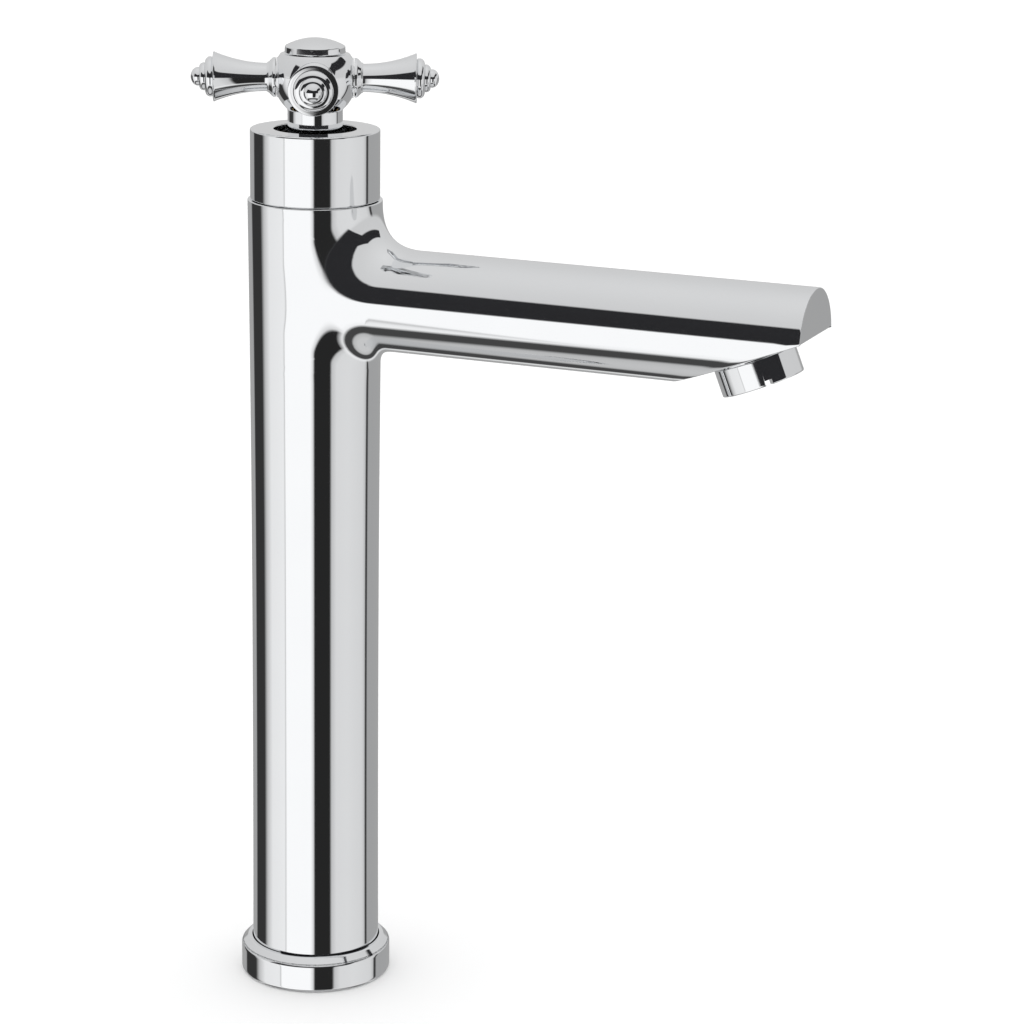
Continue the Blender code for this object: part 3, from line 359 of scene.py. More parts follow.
def wear_group() -> NodeTree:
    """Group that finds outer edges: pointiness of the surface, stretched to a mask from 0 to 1."""
    tree, entry, out = new_group("edge_wear", {"Start": 0.53, "Strength": 8.0}, "Mask")
    bend = add_node(tree, "NewGeometry").outputs["Pointiness"]
    over = math_node(tree, "SUBTRACT", bend, entry["Start"])
    feed(tree, out, {"Mask": math_node(tree, "MULTIPLY", over, entry["Strength"], clamp=True)})
    return tree


@dataclass(frozen=True)
class Finish:
    """A finish: its colours, gloss, and how strongly each surface effect shows."""

    name: str
    colour: tuple[float, float, float]
    second: tuple[float, float, float]
    metallic: float
    roughness: float
    roughness_spread: float
    bump: float
    bump_distance: float
    cloud_scale: float
    hairline_scale: float
    speck_share: float
    wear_gloss: float
    coat: float = 0.0

    def material(self, groups: dict[str, NodeTree]) -> Material:
        """Build the finish's material.

        Colour is mixed from the two colours by the clouds; roughness is the base value plus the
        clouds', hairlines' and specks' shares, less the wear on edges; the height feeds a bump.

        Args:
            groups: The shared effects by name.

        Returns:
            The material.
        """
        made = bpy.data.materials.new(self.name)
        made.use_nodes = True
        tree = made.node_tree
        effects = {"polish": {"Hairline scale": self.hairline_scale, "Cloud scale": self.cloud_scale},
                   "specks": {"Share": self.speck_share}, "wear": {}}
        marks = {}
        for label, inputs in effects.items():
            node = tree.nodes.new("ShaderNodeGroup")
            node.node_tree = groups[label]
            feed(tree, node, inputs)
            marks[label] = node.outputs
        clouds, spread = marks["polish"]["Clouds"], self.roughness_spread
        rough = math_node(tree, "MULTIPLY_ADD", clouds, spread, self.roughness)
        for mask, share in ((marks["polish"]["Hairlines"], 0.5 * spread),
                            (marks["specks"]["Mask"], 2.0 * spread),
                            (marks["wear"]["Mask"], -self.wear_gloss)):
            rough = math_node(tree, "MULTIPLY_ADD", mask, share, rough)
        bump = add_node(tree, "Bump", {"Strength": self.bump, "Distance": self.bump_distance,
                                       "Height": marks["polish"]["Height"]})
        feed(tree, tree.nodes["Principled BSDF"], {
            "Base Color": blend(tree, clouds, (*self.colour, 1.0), (*self.second, 1.0)),
            "Roughness": rough, "Normal": bump.outputs["Normal"], "Metallic": self.metallic,
            "Coat Weight": self.coat})
        return made


FINISHES = (
    Finish("polished_chrome", (0.915, 0.925, 0.935), (0.89, 0.90, 0.915), 1.0, 0.03, 0.025, 0.10,
           0.00004, 45.0, 1500.0, 0.03, 0.01),
    Finish("turned_brass", (0.50, 0.36, 0.17), (0.38, 0.27, 0.12), 1.0, 0.24, 0.16, 0.5, 0.00008,
           120.0, 2600.0, 0.10, 0.10),
    Finish("stainless_steel", (0.60, 0.60, 0.58), (0.50, 0.50, 0.49), 1.0, 0.22, 0.14, 0.5, 0.00006,
           140.0, 3200.0, 0.08, 0.08),
    Finish("black_rubber", (0.018, 0.018, 0.019), (0.035, 0.034, 0.033), 0.0, 0.55, 0.25, 0.6,
           0.00010, 260.0, 900.0, 0.25, 0.0),
    Finish("white_acetal", (0.78, 0.78, 0.75), (0.70, 0.70, 0.66), 0.0, 0.38, 0.16, 0.4, 0.00006,
           180.0, 1400.0, 0.10, 0.05),
    Finish("grey_acetal", (0.11, 0.115, 0.12), (0.075, 0.08, 0.085), 0.0, 0.36, 0.18, 0.4, 0.00006,
           180.0, 1400.0, 0.10, 0.05),
    Finish("disc_ceramic", (0.84, 0.83, 0.80), (0.78, 0.77, 0.73), 0.0, 0.12, 0.08, 0.2, 0.00003,
           90.0, 1800.0, 0.05, 0.02, 0.3),
)

NODE_FINISHES = {
    "turned_brass": ("base_plate", "hot_supply_tube", "cold_supply_tube", "retaining_nut"),
    "stainless_steel": ("lever_stem", "lever_pin", "handle_screw", "aerator_screen"),
    "black_rubber": ("base_gasket", "hot_tube_seal", "cold_tube_seal", "cap_oring", "hot_port_seal",
                     "cold_port_seal", "outlet_port_seal", "aerator_washer"),
    "white_acetal": ("disc_carrier",),
    "grey_acetal": ("cartridge_base", "cartridge_housing", "lever_carriage"),
    "disc_ceramic": ("fixed_disc", "moving_disc"),
}


def dress_nodes(materials: dict[str, Material]) -> None:
    """Give every CAD node that stays its finish.

    Args:
        materials: The finishes' materials by name.
    """
    for finish, nodes in NODE_FINISHES.items():
        for node in nodes:
            mesh = frame["nodes"][node].data
            mesh.materials.clear()
            mesh.materials.append(materials[finish])
        LOG.info("%s on %d nodes", finish, len(nodes))


# ---------------------------------------------------------------- body casting
@dataclass
class BodyCasting:
    """Column and spout in one casting.

    The skin is the zero of a soft minimum: min(column, spout) - blend^2 * reach / 4, where blend
    falls from 1 to 0 as the two distances come to differ by the reach of the fillet.
    """

    base_radius: float = 22.5 * MM
    waist_radius: float = 22.1 * MM
    top_radius: float = 22.95 * MM
    waist_share: float = 0.48
    bore_radius: float = 19.1 * MM
    bore_top: float = 226.0 * MM
    spigot_radius: float = 20.2 * MM
    bay_radius: float = 17.7 * MM
    bay_floor: float = 256.0 * MM
    half_width: float = 17.0 * MM
    half_height: float = 17.5 * MM
    spout_drop: float = 32.4 * MM
    spout_root: float = 8.0 * MM
    face_height: float = 15.8 * MM
    slant: float = math.radians(22.0)
    aerator_setback: float = 22.2 * MM
    thread_radius: float = 12.1 * MM
    thread_depth: float = 6.8 * MM
    feed_radius: float = 9.0 * MM
    feed_depth: float = 10.0 * MM
    top_fillet: float = 16.0 * MM
    side_fillet: float = 9.0 * MM
    under_fillet: float = 8.5 * MM
    edge: float = 0.35 * MM
    ledge_edge: float = 0.25 * MM
    ledge_width: float = 0.9 * MM
    joint_margin: float = 0.6 * MM
    window_margin: float = 6.3 * MM
    last_support: float = 4.0 * MM
    columns: int = 192
    column_rows: int = 72
    spout_rows: int = 30
    window_columns: int = 54
    window_rows: int = 56
    web_rows: int = 40
    straight_start: float = 40.0 * MM

    def __post_init__(self) -> None:
        """Read the levels that the CAD part fixes."""
        low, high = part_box("body")
        self.bottom, self.spigot_top, self.length = low.z, high.z, -low.y
        self.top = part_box("cap")[0].z - CLEARANCE
        self.axis_z = self.top - self.spout_drop
        self.face_bottom = self.axis_z + self.half_height - self.face_height
        self.window_low = self.axis_z - self.half_height - self.window_margin
        self.window_high = self.top - self.joint_margin

    def slanted(self) -> tuple[np.ndarray, np.ndarray, np.ndarray]:
        """Seat of the aerator: its centre, the way up the slant, and the way out of the metal."""
        along = np.array([0.0, -math.cos(self.slant), math.sin(self.slant)])
        outward = np.array([0.0, -math.sin(self.slant), -math.cos(self.slant)])
        corner = np.array([0.0, -self.length, self.face_bottom])
        return corner - self.aerator_setback * along, along, outward

    def column_radius(self, z: np.ndarray) -> np.ndarray:
        """Waist radius plus a quadratic swell towards the base and towards the top."""
        waist = self.waist_share * self.top
        below = np.clip(1 - z / waist, 0.0, 1.0) ** 2 * (self.base_radius - self.waist_radius)
        above = np.clip((z - waist) / (self.top - waist), 0.0, 1.2) ** 2
        return self.waist_radius + below + above * (self.top_radius - self.waist_radius)

    def field(self, p: np.ndarray) -> np.ndarray:
        """Soft minimum of the distances to the column and to the oval spout.

        Args:
            p: Points, (..., 3).

        Returns:
            Signed distance estimate at each point.
        """
        x, y, z = p[..., 0], p[..., 1], p[..., 2]
        column = np.hypot(x, y) - self.column_radius(z)
        across, rise = x / self.half_width, (z - self.axis_z) / self.half_height
        back = np.maximum(y + self.spout_root, 0.0) / self.half_width
        oval = np.sqrt(across ** 2 + rise ** 2 + back ** 2)
        spout = (oval - 1.0) * 0.5 * (self.half_width + self.half_height)
        sine = rise / np.maximum(np.hypot(across, rise), 1e-9)
        reach = (self.side_fillet + (self.top_fillet - self.side_fillet) * np.clip(sine, 0, 1) ** 2
                 + (self.under_fillet - self.side_fillet) * np.clip(-sine, 0, 1) ** 2)
        blend = np.clip(1.0 - np.abs(column - spout) / reach, 0.0, 1.0)
        return np.minimum(column, spout) - blend ** 2 * reach / 4

    def settle(self, p: np.ndarray, rounds: int = 8) -> np.ndarray:
        """Move points onto the skin: p - F * gradient / |gradient|^2, a few times over."""
        step = 0.01 * MM
        shifts = step * np.eye(3)
        for _ in range(rounds):
            slope = np.stack([self.field(p + s) - self.field(p - s) for s in shifts], axis=-1) / (2 * step)
            size = np.maximum((slope ** 2).sum(axis=-1), 0.05)
            p = p - (self.field(p) / size)[..., None] * slope
        return p

    def column_points(self, angle: np.ndarray, z: np.ndarray) -> np.ndarray:
        """Column skin at angles from -Y and heights, with the radius solved along each ray."""
        ray = np.stack([np.sin(angle), -np.cos(angle), np.zeros_like(angle)], axis=-1)
        radius = self.column_radius(z)
        for _ in range(30):
            place = ray * radius[..., None]
            place[..., 2] = z
            radius = radius - self.field(place)
        place = ray * radius[..., None]
        place[..., 2] = z
        return place

    def window(self) -> tuple[np.ndarray, np.ndarray]:
        """Angles and heights round the window that the spout grows from, right side first."""
        half = self.window_columns * math.tau / self.columns
        turn = np.linspace(-half, half, 2 * self.window_columns + 1)
        rise = np.linspace(self.window_low, self.window_high, self.window_rows + 1)
        angle = np.concatenate([np.full(self.window_rows, half), turn[::-1][:-1],
                                np.full(self.window_rows, -half), turn[:-1]])
        height = np.concatenate([rise[:-1], np.full(turn.size - 1, rise[-1]), rise[::-1][:-1],
                                 np.full(turn.size - 1, rise[0])])
        return angle, height

    def column_skin(self, skin: Skin) -> None:
        """Column outside the window, its ledge, spigot, bay and bore.

        Args:
            skin: The skin that gets the grids.
        """
        turn = math.tau / self.columns
        whole = (np.arange(self.columns) - self.columns // 2) * turn
        rest = (np.arange(self.columns - 2 * self.window_columns + 1) + self.window_columns) * turn
        low = np.linspace(self.bottom, self.window_low, self.column_rows)
        middle = np.linspace(self.window_low, self.window_high, self.window_rows + 1)
        edge, start = self.ledge_edge, self.top - self.ledge_edge
        high = np.array([self.window_high, start - 0.1 * MM, start])
        for heights, angles, wrap in ((low, whole, True), (middle, rest, False), (high, whole, True)):
            z, angle = np.meshgrid(heights, angles, indexing="ij")
            skin.grid(self.column_points(angle, z), wrap)
        rim = self.column_points(whole, np.full(whole.size, start))
        rows = []
        for share in np.radians((0.0, 22.5, 45.0, 67.5, 90.0)):
            row = rim * (1 - edge * (1 - math.cos(share)) / np.hypot(rim[:, 0], rim[:, 1]))[:, None]
            row[:, 2] = start + edge * math.sin(share)
            rows.append(row)
        skin.grid(np.stack(rows))
        self.stepped(skin, rows[-1], whole, (
            (self.spigot_radius + self.ledge_width, self.top), (self.spigot_radius, self.top),
            (self.spigot_radius, self.spigot_top), (self.bay_radius, self.spigot_top),
            (self.bay_radius, self.bay_floor), (0.0, self.bay_floor)))
        foot = self.column_points(whole, np.full(whole.size, self.bottom))
        self.stepped(skin, foot, whole, (
            (self.bore_radius, self.bottom), (self.bore_radius, self.bore_top), (0.0, self.bore_top)))

    def stepped(self, skin: Skin, row: np.ndarray, angles: np.ndarray,
                path: tuple[tuple[float, float], ...]) -> None:
        """Add the circles of a stepped path after a row: (r sin a, -r cos a, z).

        Args:
            skin: The skin that gets the grids.
            row: The row of points that the path starts from.
            angles: Angles of the row's points, from -Y.
            path: (radius, height) of each circle.
        """
        circles = [np.stack([radius * np.sin(angles), -radius * np.cos(angles),
                             np.full(angles.size, z)], axis=-1) for radius, z in path]
        skin.grid(np.stack([row, *circles]))

    def ring_angles(self, angle: np.ndarray, height: np.ndarray) -> tuple[np.ndarray, int, int]:
        """Angles round the spout that match the window's points, with the two face corners.

        Args:
            angle: Angles round the window.
            height: Heights round the window.

        Returns:
            The ring angles, and the index of the right and the left face corner.
        """
        half = self.window_columns * math.tau / self.columns
        middle = 0.5 * (self.window_low + self.window_high)
        ring = np.arctan2((height - middle) / (self.window_high - middle), angle / half)
        corner = math.asin((self.face_bottom - self.axis_z) / self.half_height)
        right = int(np.argmin(np.abs(ring - corner)))
        left = int(np.argmin(np.abs(ring - (math.pi - corner))))
        ring[right], ring[left] = corner, math.pi - corner
        return ring, right, left

    def oval(self, ring: np.ndarray, reach: np.ndarray) -> np.ndarray:
        """Spout section: (a cos, -reach, axis + b sin)."""
        return np.stack([self.half_width * np.cos(ring), -reach,
                         self.axis_z + self.half_height * np.sin(ring)], axis=-1)

    def spout_skin(self, skin: Skin) -> None:
        """Spout from the window to its end face, cut underside and aerator seat.

        The web is a quadratic curve from each window point past the corner between column and spout,
        settled on the skin. The soft edges are quadratic curves too.

        Args:
            skin: The skin that gets the grids.
        """
        angle, height = self.window()
        edge_points = self.column_points(angle, height)
        ring, right, left = self.ring_angles(angle, height)
        count = ring.size
        start = self.oval(ring, np.full(count, self.straight_start))
        root_y = np.sqrt(self.column_radius(start[:, 2]) ** 2 - start[:, 0] ** 2)
        knee = self.oval(ring, root_y)
        share = np.linspace(0.0, 1.0, self.web_rows + 1)[:, None, None]
        web = quadratic(edge_points, knee, start, share)
        web[1:-1] = self.settle(web[1:-1])
        skin.grid(web)

        rise = start[:, 2] - self.face_bottom
        reach = self.length + np.minimum(rise, 0.0) / math.tan(self.slant)
        corner = self.oval(ring, reach)
        normal_side = unit(np.stack([np.cos(ring) / self.half_width, np.zeros(count),
                                     np.sin(ring) / self.half_height], axis=-1))
        along = unit(np.roll(corner, -1, axis=0) - np.roll(corner, 1, axis=0))
        seat, _, outward = self.slanted()
        on_face = rise > 1e-7
        face_normal = np.where(on_face[:, None], np.array([0.0, -1.0, 0.0]), outward)
        back = unit(np.cross(normal_side, along))
        back *= np.sign(back[:, 1:2])
        inward = unit(np.cross(face_normal, along))
        centre = np.array([0.0, -self.length, self.face_bottom + 0.35 * self.face_height])
        target = np.where(on_face[:, None], centre, seat) - corner
        inward *= np.sign((inward * target).sum(axis=-1, keepdims=True))
        inward[right], inward[left] = (-1.0, 0.0, 0.0), (1.0, 0.0, 0.0)

        last = self.oval(ring, reach - self.last_support)
        rows = np.linspace(0.0, 1.0, self.spout_rows)[:, None, None]
        skin.grid((1 - rows) * start + rows * last)
        near, far = corner + back * self.edge, corner + inward * self.edge
        steps = np.linspace(0.0, 1.0, 5)[:, None, None]
        bend = quadratic(near, corner, far, steps)
        rim, support = corner + 2 * self.edge * inward, corner + 2 * self.edge * back
        skin.grid(np.concatenate([last[None], support[None], bend, rim[None]]))
        self.end_faces(skin, rim, right, left)

    def end_faces(self, skin: Skin, rim: np.ndarray, right: int, left: int) -> None:
        """Arched end face, the slanted face with its round seat, and the soft edge between them.

        Args:
            skin: The skin that gets the grids.
            rim: Points just inside the spout's end edge, round the section.
            right: Index of the right face corner.
            left: Index of the left face corner.
        """
        arch = rim[right + 1:left]
        low_z = arch[0, 2]
        share = ((arch[:, 0] - arch[0, 0]) / (arch[-1, 0] - arch[0, 0]))[:, None]
        upper = np.stack([arch[:, 0], arch[:, 1], np.full(len(arch), low_z)], axis=-1)
        skin.grid(np.stack([arch, upper]), wrap=False)
        first, last = rim[right - 1], rim[left + 1]
        lower = (1 - share) * first + share * last
        edge = np.stack([upper[:, 0], np.full(len(upper), -self.length),
                         np.full(len(upper), self.face_bottom)], axis=-1)
        middle = 0.25 * upper + 0.5 * edge + 0.25 * lower
        middle[0], middle[-1] = rim[right], rim[left]
        skin.grid(np.stack([upper, middle, lower]), wrap=False)

        count = len(rim)
        under = np.arange(left + 1, right + count) % count
        loop = np.concatenate([rim[under], lower[1:-1]])
        origin, along, outward = self.slanted()
        flat = loop - origin
        turn = np.arctan2(flat @ along, flat[:, 0])
        circle = np.cos(turn)[:, None] * np.array([1.0, 0.0, 0.0]) + np.sin(turn)[:, None] * along
        rows = [loop]
        thread, feed_radius = self.thread_radius, self.feed_radius
        for radius, depth in ((thread + 0.8 * MM, 0.0), (thread + 0.3 * MM, 0.0),
                              (thread + 0.08 * MM, 0.08 * MM), (thread, 0.3 * MM),
                              (thread, self.thread_depth), (feed_radius, self.thread_depth),
                              (feed_radius, self.feed_depth), (0.0, self.feed_depth)):
            rows.append(origin + radius * circle - depth * outward)
        skin.grid(np.stack(rows))

    def build(self, material: Material) -> None:
        """Make the casting and let it stand for its CAD node."""
        skin = Skin()
        self.column_skin(skin)
        self.spout_skin(skin)
        put("body_casting", skin, material, Body.ROOT, "body")


# ---------------------------------------------------------------- turned root pieces
@dataclass
class BaseRing:
    """Ring at the foot of the column: a straight wall, a soft shoulder and a flat top."""

    inner: float = 22.8 * MM
    recess: float = 24.8 * MM
    shoulder_drop: float = 2.5 * MM
    lip: float = 1.2 * MM
    floor_gap: float = 1.7 * MM

    def build(self, material: Material) -> None:
        """Turn the ring and let it stand for its CAD node."""
        low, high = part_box("base_ring")
        radius, top = high.x, high.z
        profile = rounded_line([
            (self.inner, self.floor_gap, 0.0), (self.inner, top, 0.0),
            (self.inner + self.lip, top, 0.5 * MM),
            (radius - 0.9 * MM, top - self.shoulder_drop + 0.9 * MM, 0.7 * MM),
            (radius, top - self.shoulder_drop, 0.7 * MM), (radius, low.z, 1.2 * MM),
            (self.recess, low.z, 0.0), (self.recess, self.floor_gap, 0.0),
            (self.inner, self.floor_gap, 0.0)], steps=8)
        put("base_flange", Skin(lathe(profile, TURNED_COLUMNS)), material, Body.ROOT, "base_ring")


@dataclass
class ValveCap:
    """Open-topped cap over the valve."""

    inner: float = 20.5 * MM
    opening: float = 14.05 * MM
    top_wall: float = 2.5 * MM
    edge: float = 0.7 * MM

    def build(self, material: Material) -> None:
        """Turn the cap and let it stand for its CAD node."""
        low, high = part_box("cap")
        radius = high.x
        profile = rounded_line([
            (self.inner, low.z, 0.0), (radius, low.z, 0.25 * MM), (radius, high.z, self.edge),
            (self.opening, high.z, 0.35 * MM), (self.opening, high.z - self.top_wall, 0.2 * MM),
            (self.inner, high.z - self.top_wall, 0.0), (self.inner, low.z, 0.0)], steps=8)
        put("valve_cap", Skin(lathe(profile, TURNED_COLUMNS)), material, Body.ROOT, "cap")


# ---------------------------------------------------------------- cross handle
@dataclass
class CrossHandle:
    """Round hub on a neck, four trumpet arms with beaded tips, and a domed button."""

    hub_radius: float = 14.1 * MM
    hub_above_cap: float = 17.1 * MM
    neck_radius: float = 9.32 * MM
    neck_fillet: float = 1.0 * MM
    top_edge: float = 0.4 * MM
    boss_radius: float = 6.7 * MM
    boss_fillet: float = 0.35 * MM
    boss_face: float = 12.9 * MM
    socket_radius: float = 4.1 * MM
    socket_depth: float = 3.7 * MM
    counterbore: float = 5.9 * MM
    web_low: float = 4.2 * MM
    web_high: float = 2.5 * MM
    square_bore: float = 5.3 * MM
    screw_hole: float = 2.2 * MM
    spigot_radius: float = 3.8 * MM
    spigot_length: float = 3.6 * MM
    collar_radius: float = 6.6 * MM
    waist_radius: float = 4.72 * MM
    flare_radius: float = 8.35 * MM
    flare_at: float = 33.9 * MM
    rim_round: float = 0.22 * MM
    plug_radius: float = 5.6 * MM
    button_wall: float = 2.2 * MM
    button_shoulder: float = 1.2 * MM
    shoulder_rise: float = 0.55 * MM
    button_radius: float = 10.25 * MM
    side_points: int = 48
    rows: int = 16

    def __post_init__(self) -> None:
        """Read the handle's place and turn from the CAD part."""
        self.axis_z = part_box("cap")[1].z + self.hub_above_cap
        low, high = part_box("handle_hub")
        self.neck_bottom, self.top_rise = low.z, high.z - self.axis_z
        tilt = next(joint for joint in frame["joints"] if joint["name"] == "flow_tilt")
        self.turn = math.atan2(tilt["axis"][1], tilt["axis"][0])

    def place(self, quarter: int) -> Matrix:
        """Placement of an arm: its own Z runs outwards and its own Y points up."""
        lie = Matrix(((1, 0, 0), (0, 0, -1), (0, 1, 0))).to_4x4()
        return (Matrix.Translation((0.0, 0.0, self.axis_z))
                @ Matrix.Rotation(self.turn + quarter * math.pi / 2, 4, "Z") @ lie)

    def hub(self) -> Skin:
        """Ball with four bosses, a neck and a flat top, in one closed skin.

        A quarter of the ball is a patch between a boss's circle and a frame of meridians and
        parallels; points between the two are mixed and pushed out to the ball's radius.
        """
        skin = Skin()
        ball, fillet = self.hub_radius, self.boss_fillet
        lean = math.asin((self.boss_radius + fillet) / (ball + fillet))
        top_ring = math.acos((self.top_rise - self.top_edge) / (ball - self.top_edge))
        neck_lean = math.asin((self.neck_radius + self.neck_fillet) / (ball + self.neck_fillet))
        high, low = math.pi / 2 - top_ring, neck_lean - math.pi / 2
        side = np.linspace(0.0, 1.0, self.side_points + 1)[:-1]
        quarter = math.pi / 4
        azimuth = np.concatenate([np.full(side.size, quarter), quarter - 2 * quarter * side,
                                  np.full(side.size, -quarter), 2 * quarter * side - quarter])
        level = np.concatenate([low + (high - low) * side, np.full(side.size, high),
                                high + (low - high) * side, np.full(side.size, low)])
        outer = np.stack([np.sin(azimuth) * np.cos(level), np.sin(level),
                          np.cos(azimuth) * np.cos(level)], axis=-1)
        around = np.arctan2(level, azimuth)
        inner = np.stack([math.sin(lean) * np.cos(around), math.sin(lean) * np.sin(around),
                          np.full(around.size, math.cos(lean))], axis=-1)
        share = np.linspace(0.0, 1.0, self.rows + 1)[:, None, None]
        patch = ball * unit((1 - share) * outer + share * inner)

        face = self.boss_face
        centre = ((self.boss_radius + fillet), (ball + fillet) * math.cos(lean))
        hollow = arc(centre, (fillet, fillet), -90.0 - math.degrees(lean), -180.0, 6)
        rim = rounded_line([(self.boss_radius, centre[1], 0.0), (self.boss_radius, face, 0.1 * MM),
                            (self.socket_radius, face, 0.1 * MM),
                            (self.socket_radius, face - self.socket_depth, 0.0),
                            (0.0, face - self.socket_depth, 0.0)], steps=4, hold=0.06 * MM)
        boss = np.concatenate([hollow[:-1], rim])
        for number in range(4):
            skin.grid(move(patch, self.place(number)))
            skin.grid(lathe(boss, around, self.place(number)))

        neck_centre = (self.neck_radius + self.neck_fillet,
                       -(ball + self.neck_fillet) * math.cos(neck_lean))
        neck = arc(neck_centre, (self.neck_fillet,) * 2, 90.0 + math.degrees(neck_lean), 180.0, 8)
        bottom = self.neck_bottom - self.axis_z
        inside = rounded_line([
            (self.neck_radius, neck_centre[1], 0.0), (self.neck_radius, bottom, 0.4 * MM),
            (self.square_bore, bottom, 0.0), (self.square_bore, -self.web_low, 0.0),
            (self.screw_hole, -self.web_low, 0.0), (self.screw_hole, -self.web_high, 0.0),
            (self.counterbore, -self.web_high, 0.0), (self.counterbore, self.top_rise, 0.2 * MM),
            ((ball - self.top_edge) * math.sin(top_ring) - 0.3 * MM, self.top_rise, 0.0)])
        top_centre = ((ball - self.top_edge) * math.sin(top_ring), self.top_rise - self.top_edge)
        shoulder = arc(top_centre, (self.top_edge,) * 2, 90.0, 90.0 - math.degrees(top_ring), 8)
        profile = np.concatenate([neck[:-1], inside, shoulder])
        columns = 4 * self.side_points
        angles = self.turn + quarter + np.arange(columns) * math.tau / columns
        skin.grid(lathe(profile, angles, Matrix.Translation((0.0, 0.0, self.axis_z))))
        return skin

    def arm_profile(self) -> np.ndarray:
        """Profile of an arm from its socket out: spigot, collar, waist, trumpet, rim and beads.

        The trumpet is waist + (flare - waist) * u^2, and each bead is an elliptical arc.
        """
        seat, collar, waist = self.boss_face + CLEARANCE, self.collar_radius, self.waist_radius
        spigot, start = self.spigot_radius, seat - self.spigot_length
        foot = [(0.0, start, 0.0), (spigot, start, 0.0), (spigot, seat, 0.0),
                (collar, seat, 0.15 * MM)]
        neck = [(collar, seat + 0.9 * MM, 0.3 * MM), (5.2 * MM, seat + 2.3 * MM, 0.2 * MM),
                (5.05 * MM, seat + 2.75 * MM, 0.12 * MM), (waist + 0.05 * MM, seat + 2.85 * MM, 0.0)]
        first = seat + 3.1 * MM
        last = self.flare_at - 0.2 * MM
        u = np.linspace(0.0, 1.0, 40)
        trumpet = np.stack([waist + (self.flare_radius - 0.1 * MM - waist) * u ** 2,
                            first + (last - first) * u], axis=1)
        rim = arc((self.flare_radius - self.rim_round, self.flare_at), (self.rim_round,) * 2,
                  -40.0, 90.0, 7)
        step = np.array([(7.3, 34.14), (6.5, 34.16), (6.2, 34.2)]) * MM
        beads = [arc((4.75 * MM, 35.1 * MM), (1.95 * MM, 1.75 * MM), -30.0, 84.0, 14),
                 np.array([(4.45, 36.86)]) * MM,
                 arc((3.15 * MM, 37.3 * MM), (1.5 * MM, 1.5 * MM), -16.0, 82.0, 12),
                 np.array([(2.85, 38.82)]) * MM,
                 arc((0.0, 39.3 * MM), (3.1 * MM, 2.4 * MM), -12.0, 90.0, 16)]
        return np.concatenate([rounded_line(foot + neck, hold=0.08 * MM), trumpet, rim, step, *beads])

    def button_profile(self) -> np.ndarray:
        """Profile of the button from its plug up: side wall, soft edge and a low dome."""
        low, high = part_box("index_button")
        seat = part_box("handle_hub")[1].z + CLEARANCE
        radius, plug = self.button_radius, self.plug_radius
        edge = radius - self.button_shoulder
        wall = rounded_line([
            (0.0, low.z, 0.0), (plug, low.z, 0.0), (plug, seat, 0.0), (radius, seat, 0.15 * MM),
            (radius - 0.15 * MM, seat + self.button_wall, 0.35 * MM),
            (edge, seat + self.button_wall + self.shoulder_rise, 0.0)], steps=7, hold=0.12 * MM)
        rise = high.z - wall[-1, 1]
        angle = np.radians(np.linspace(0.0, 90.0, 24))[1:]
        dome = np.stack([edge * np.cos(angle), wall[-1, 1] + rise * (1 - np.cos(angle) ** 2)], axis=1)
        return np.concatenate([wall, dome])

    def build(self, material: Material) -> None:
        """Make the handle's pieces and let them stand for their CAD nodes."""
        put("handle_ball", self.hub(), material, Body.LEVER, "handle_hub")
        profile = self.arm_profile()
        for quarter, side in enumerate(("right", "back", "left", "front")):
            arm = Skin(lathe(profile, ARM_COLUMNS, self.place(quarter)))
            put("trumpet_arm_" + side, arm, material, Body.LEVER, "handle_arm_" + side)
        button = Skin(lathe(self.button_profile(), BUTTON_COLUMNS))
        put("domed_button", button, material, Body.LEVER, "index_button")


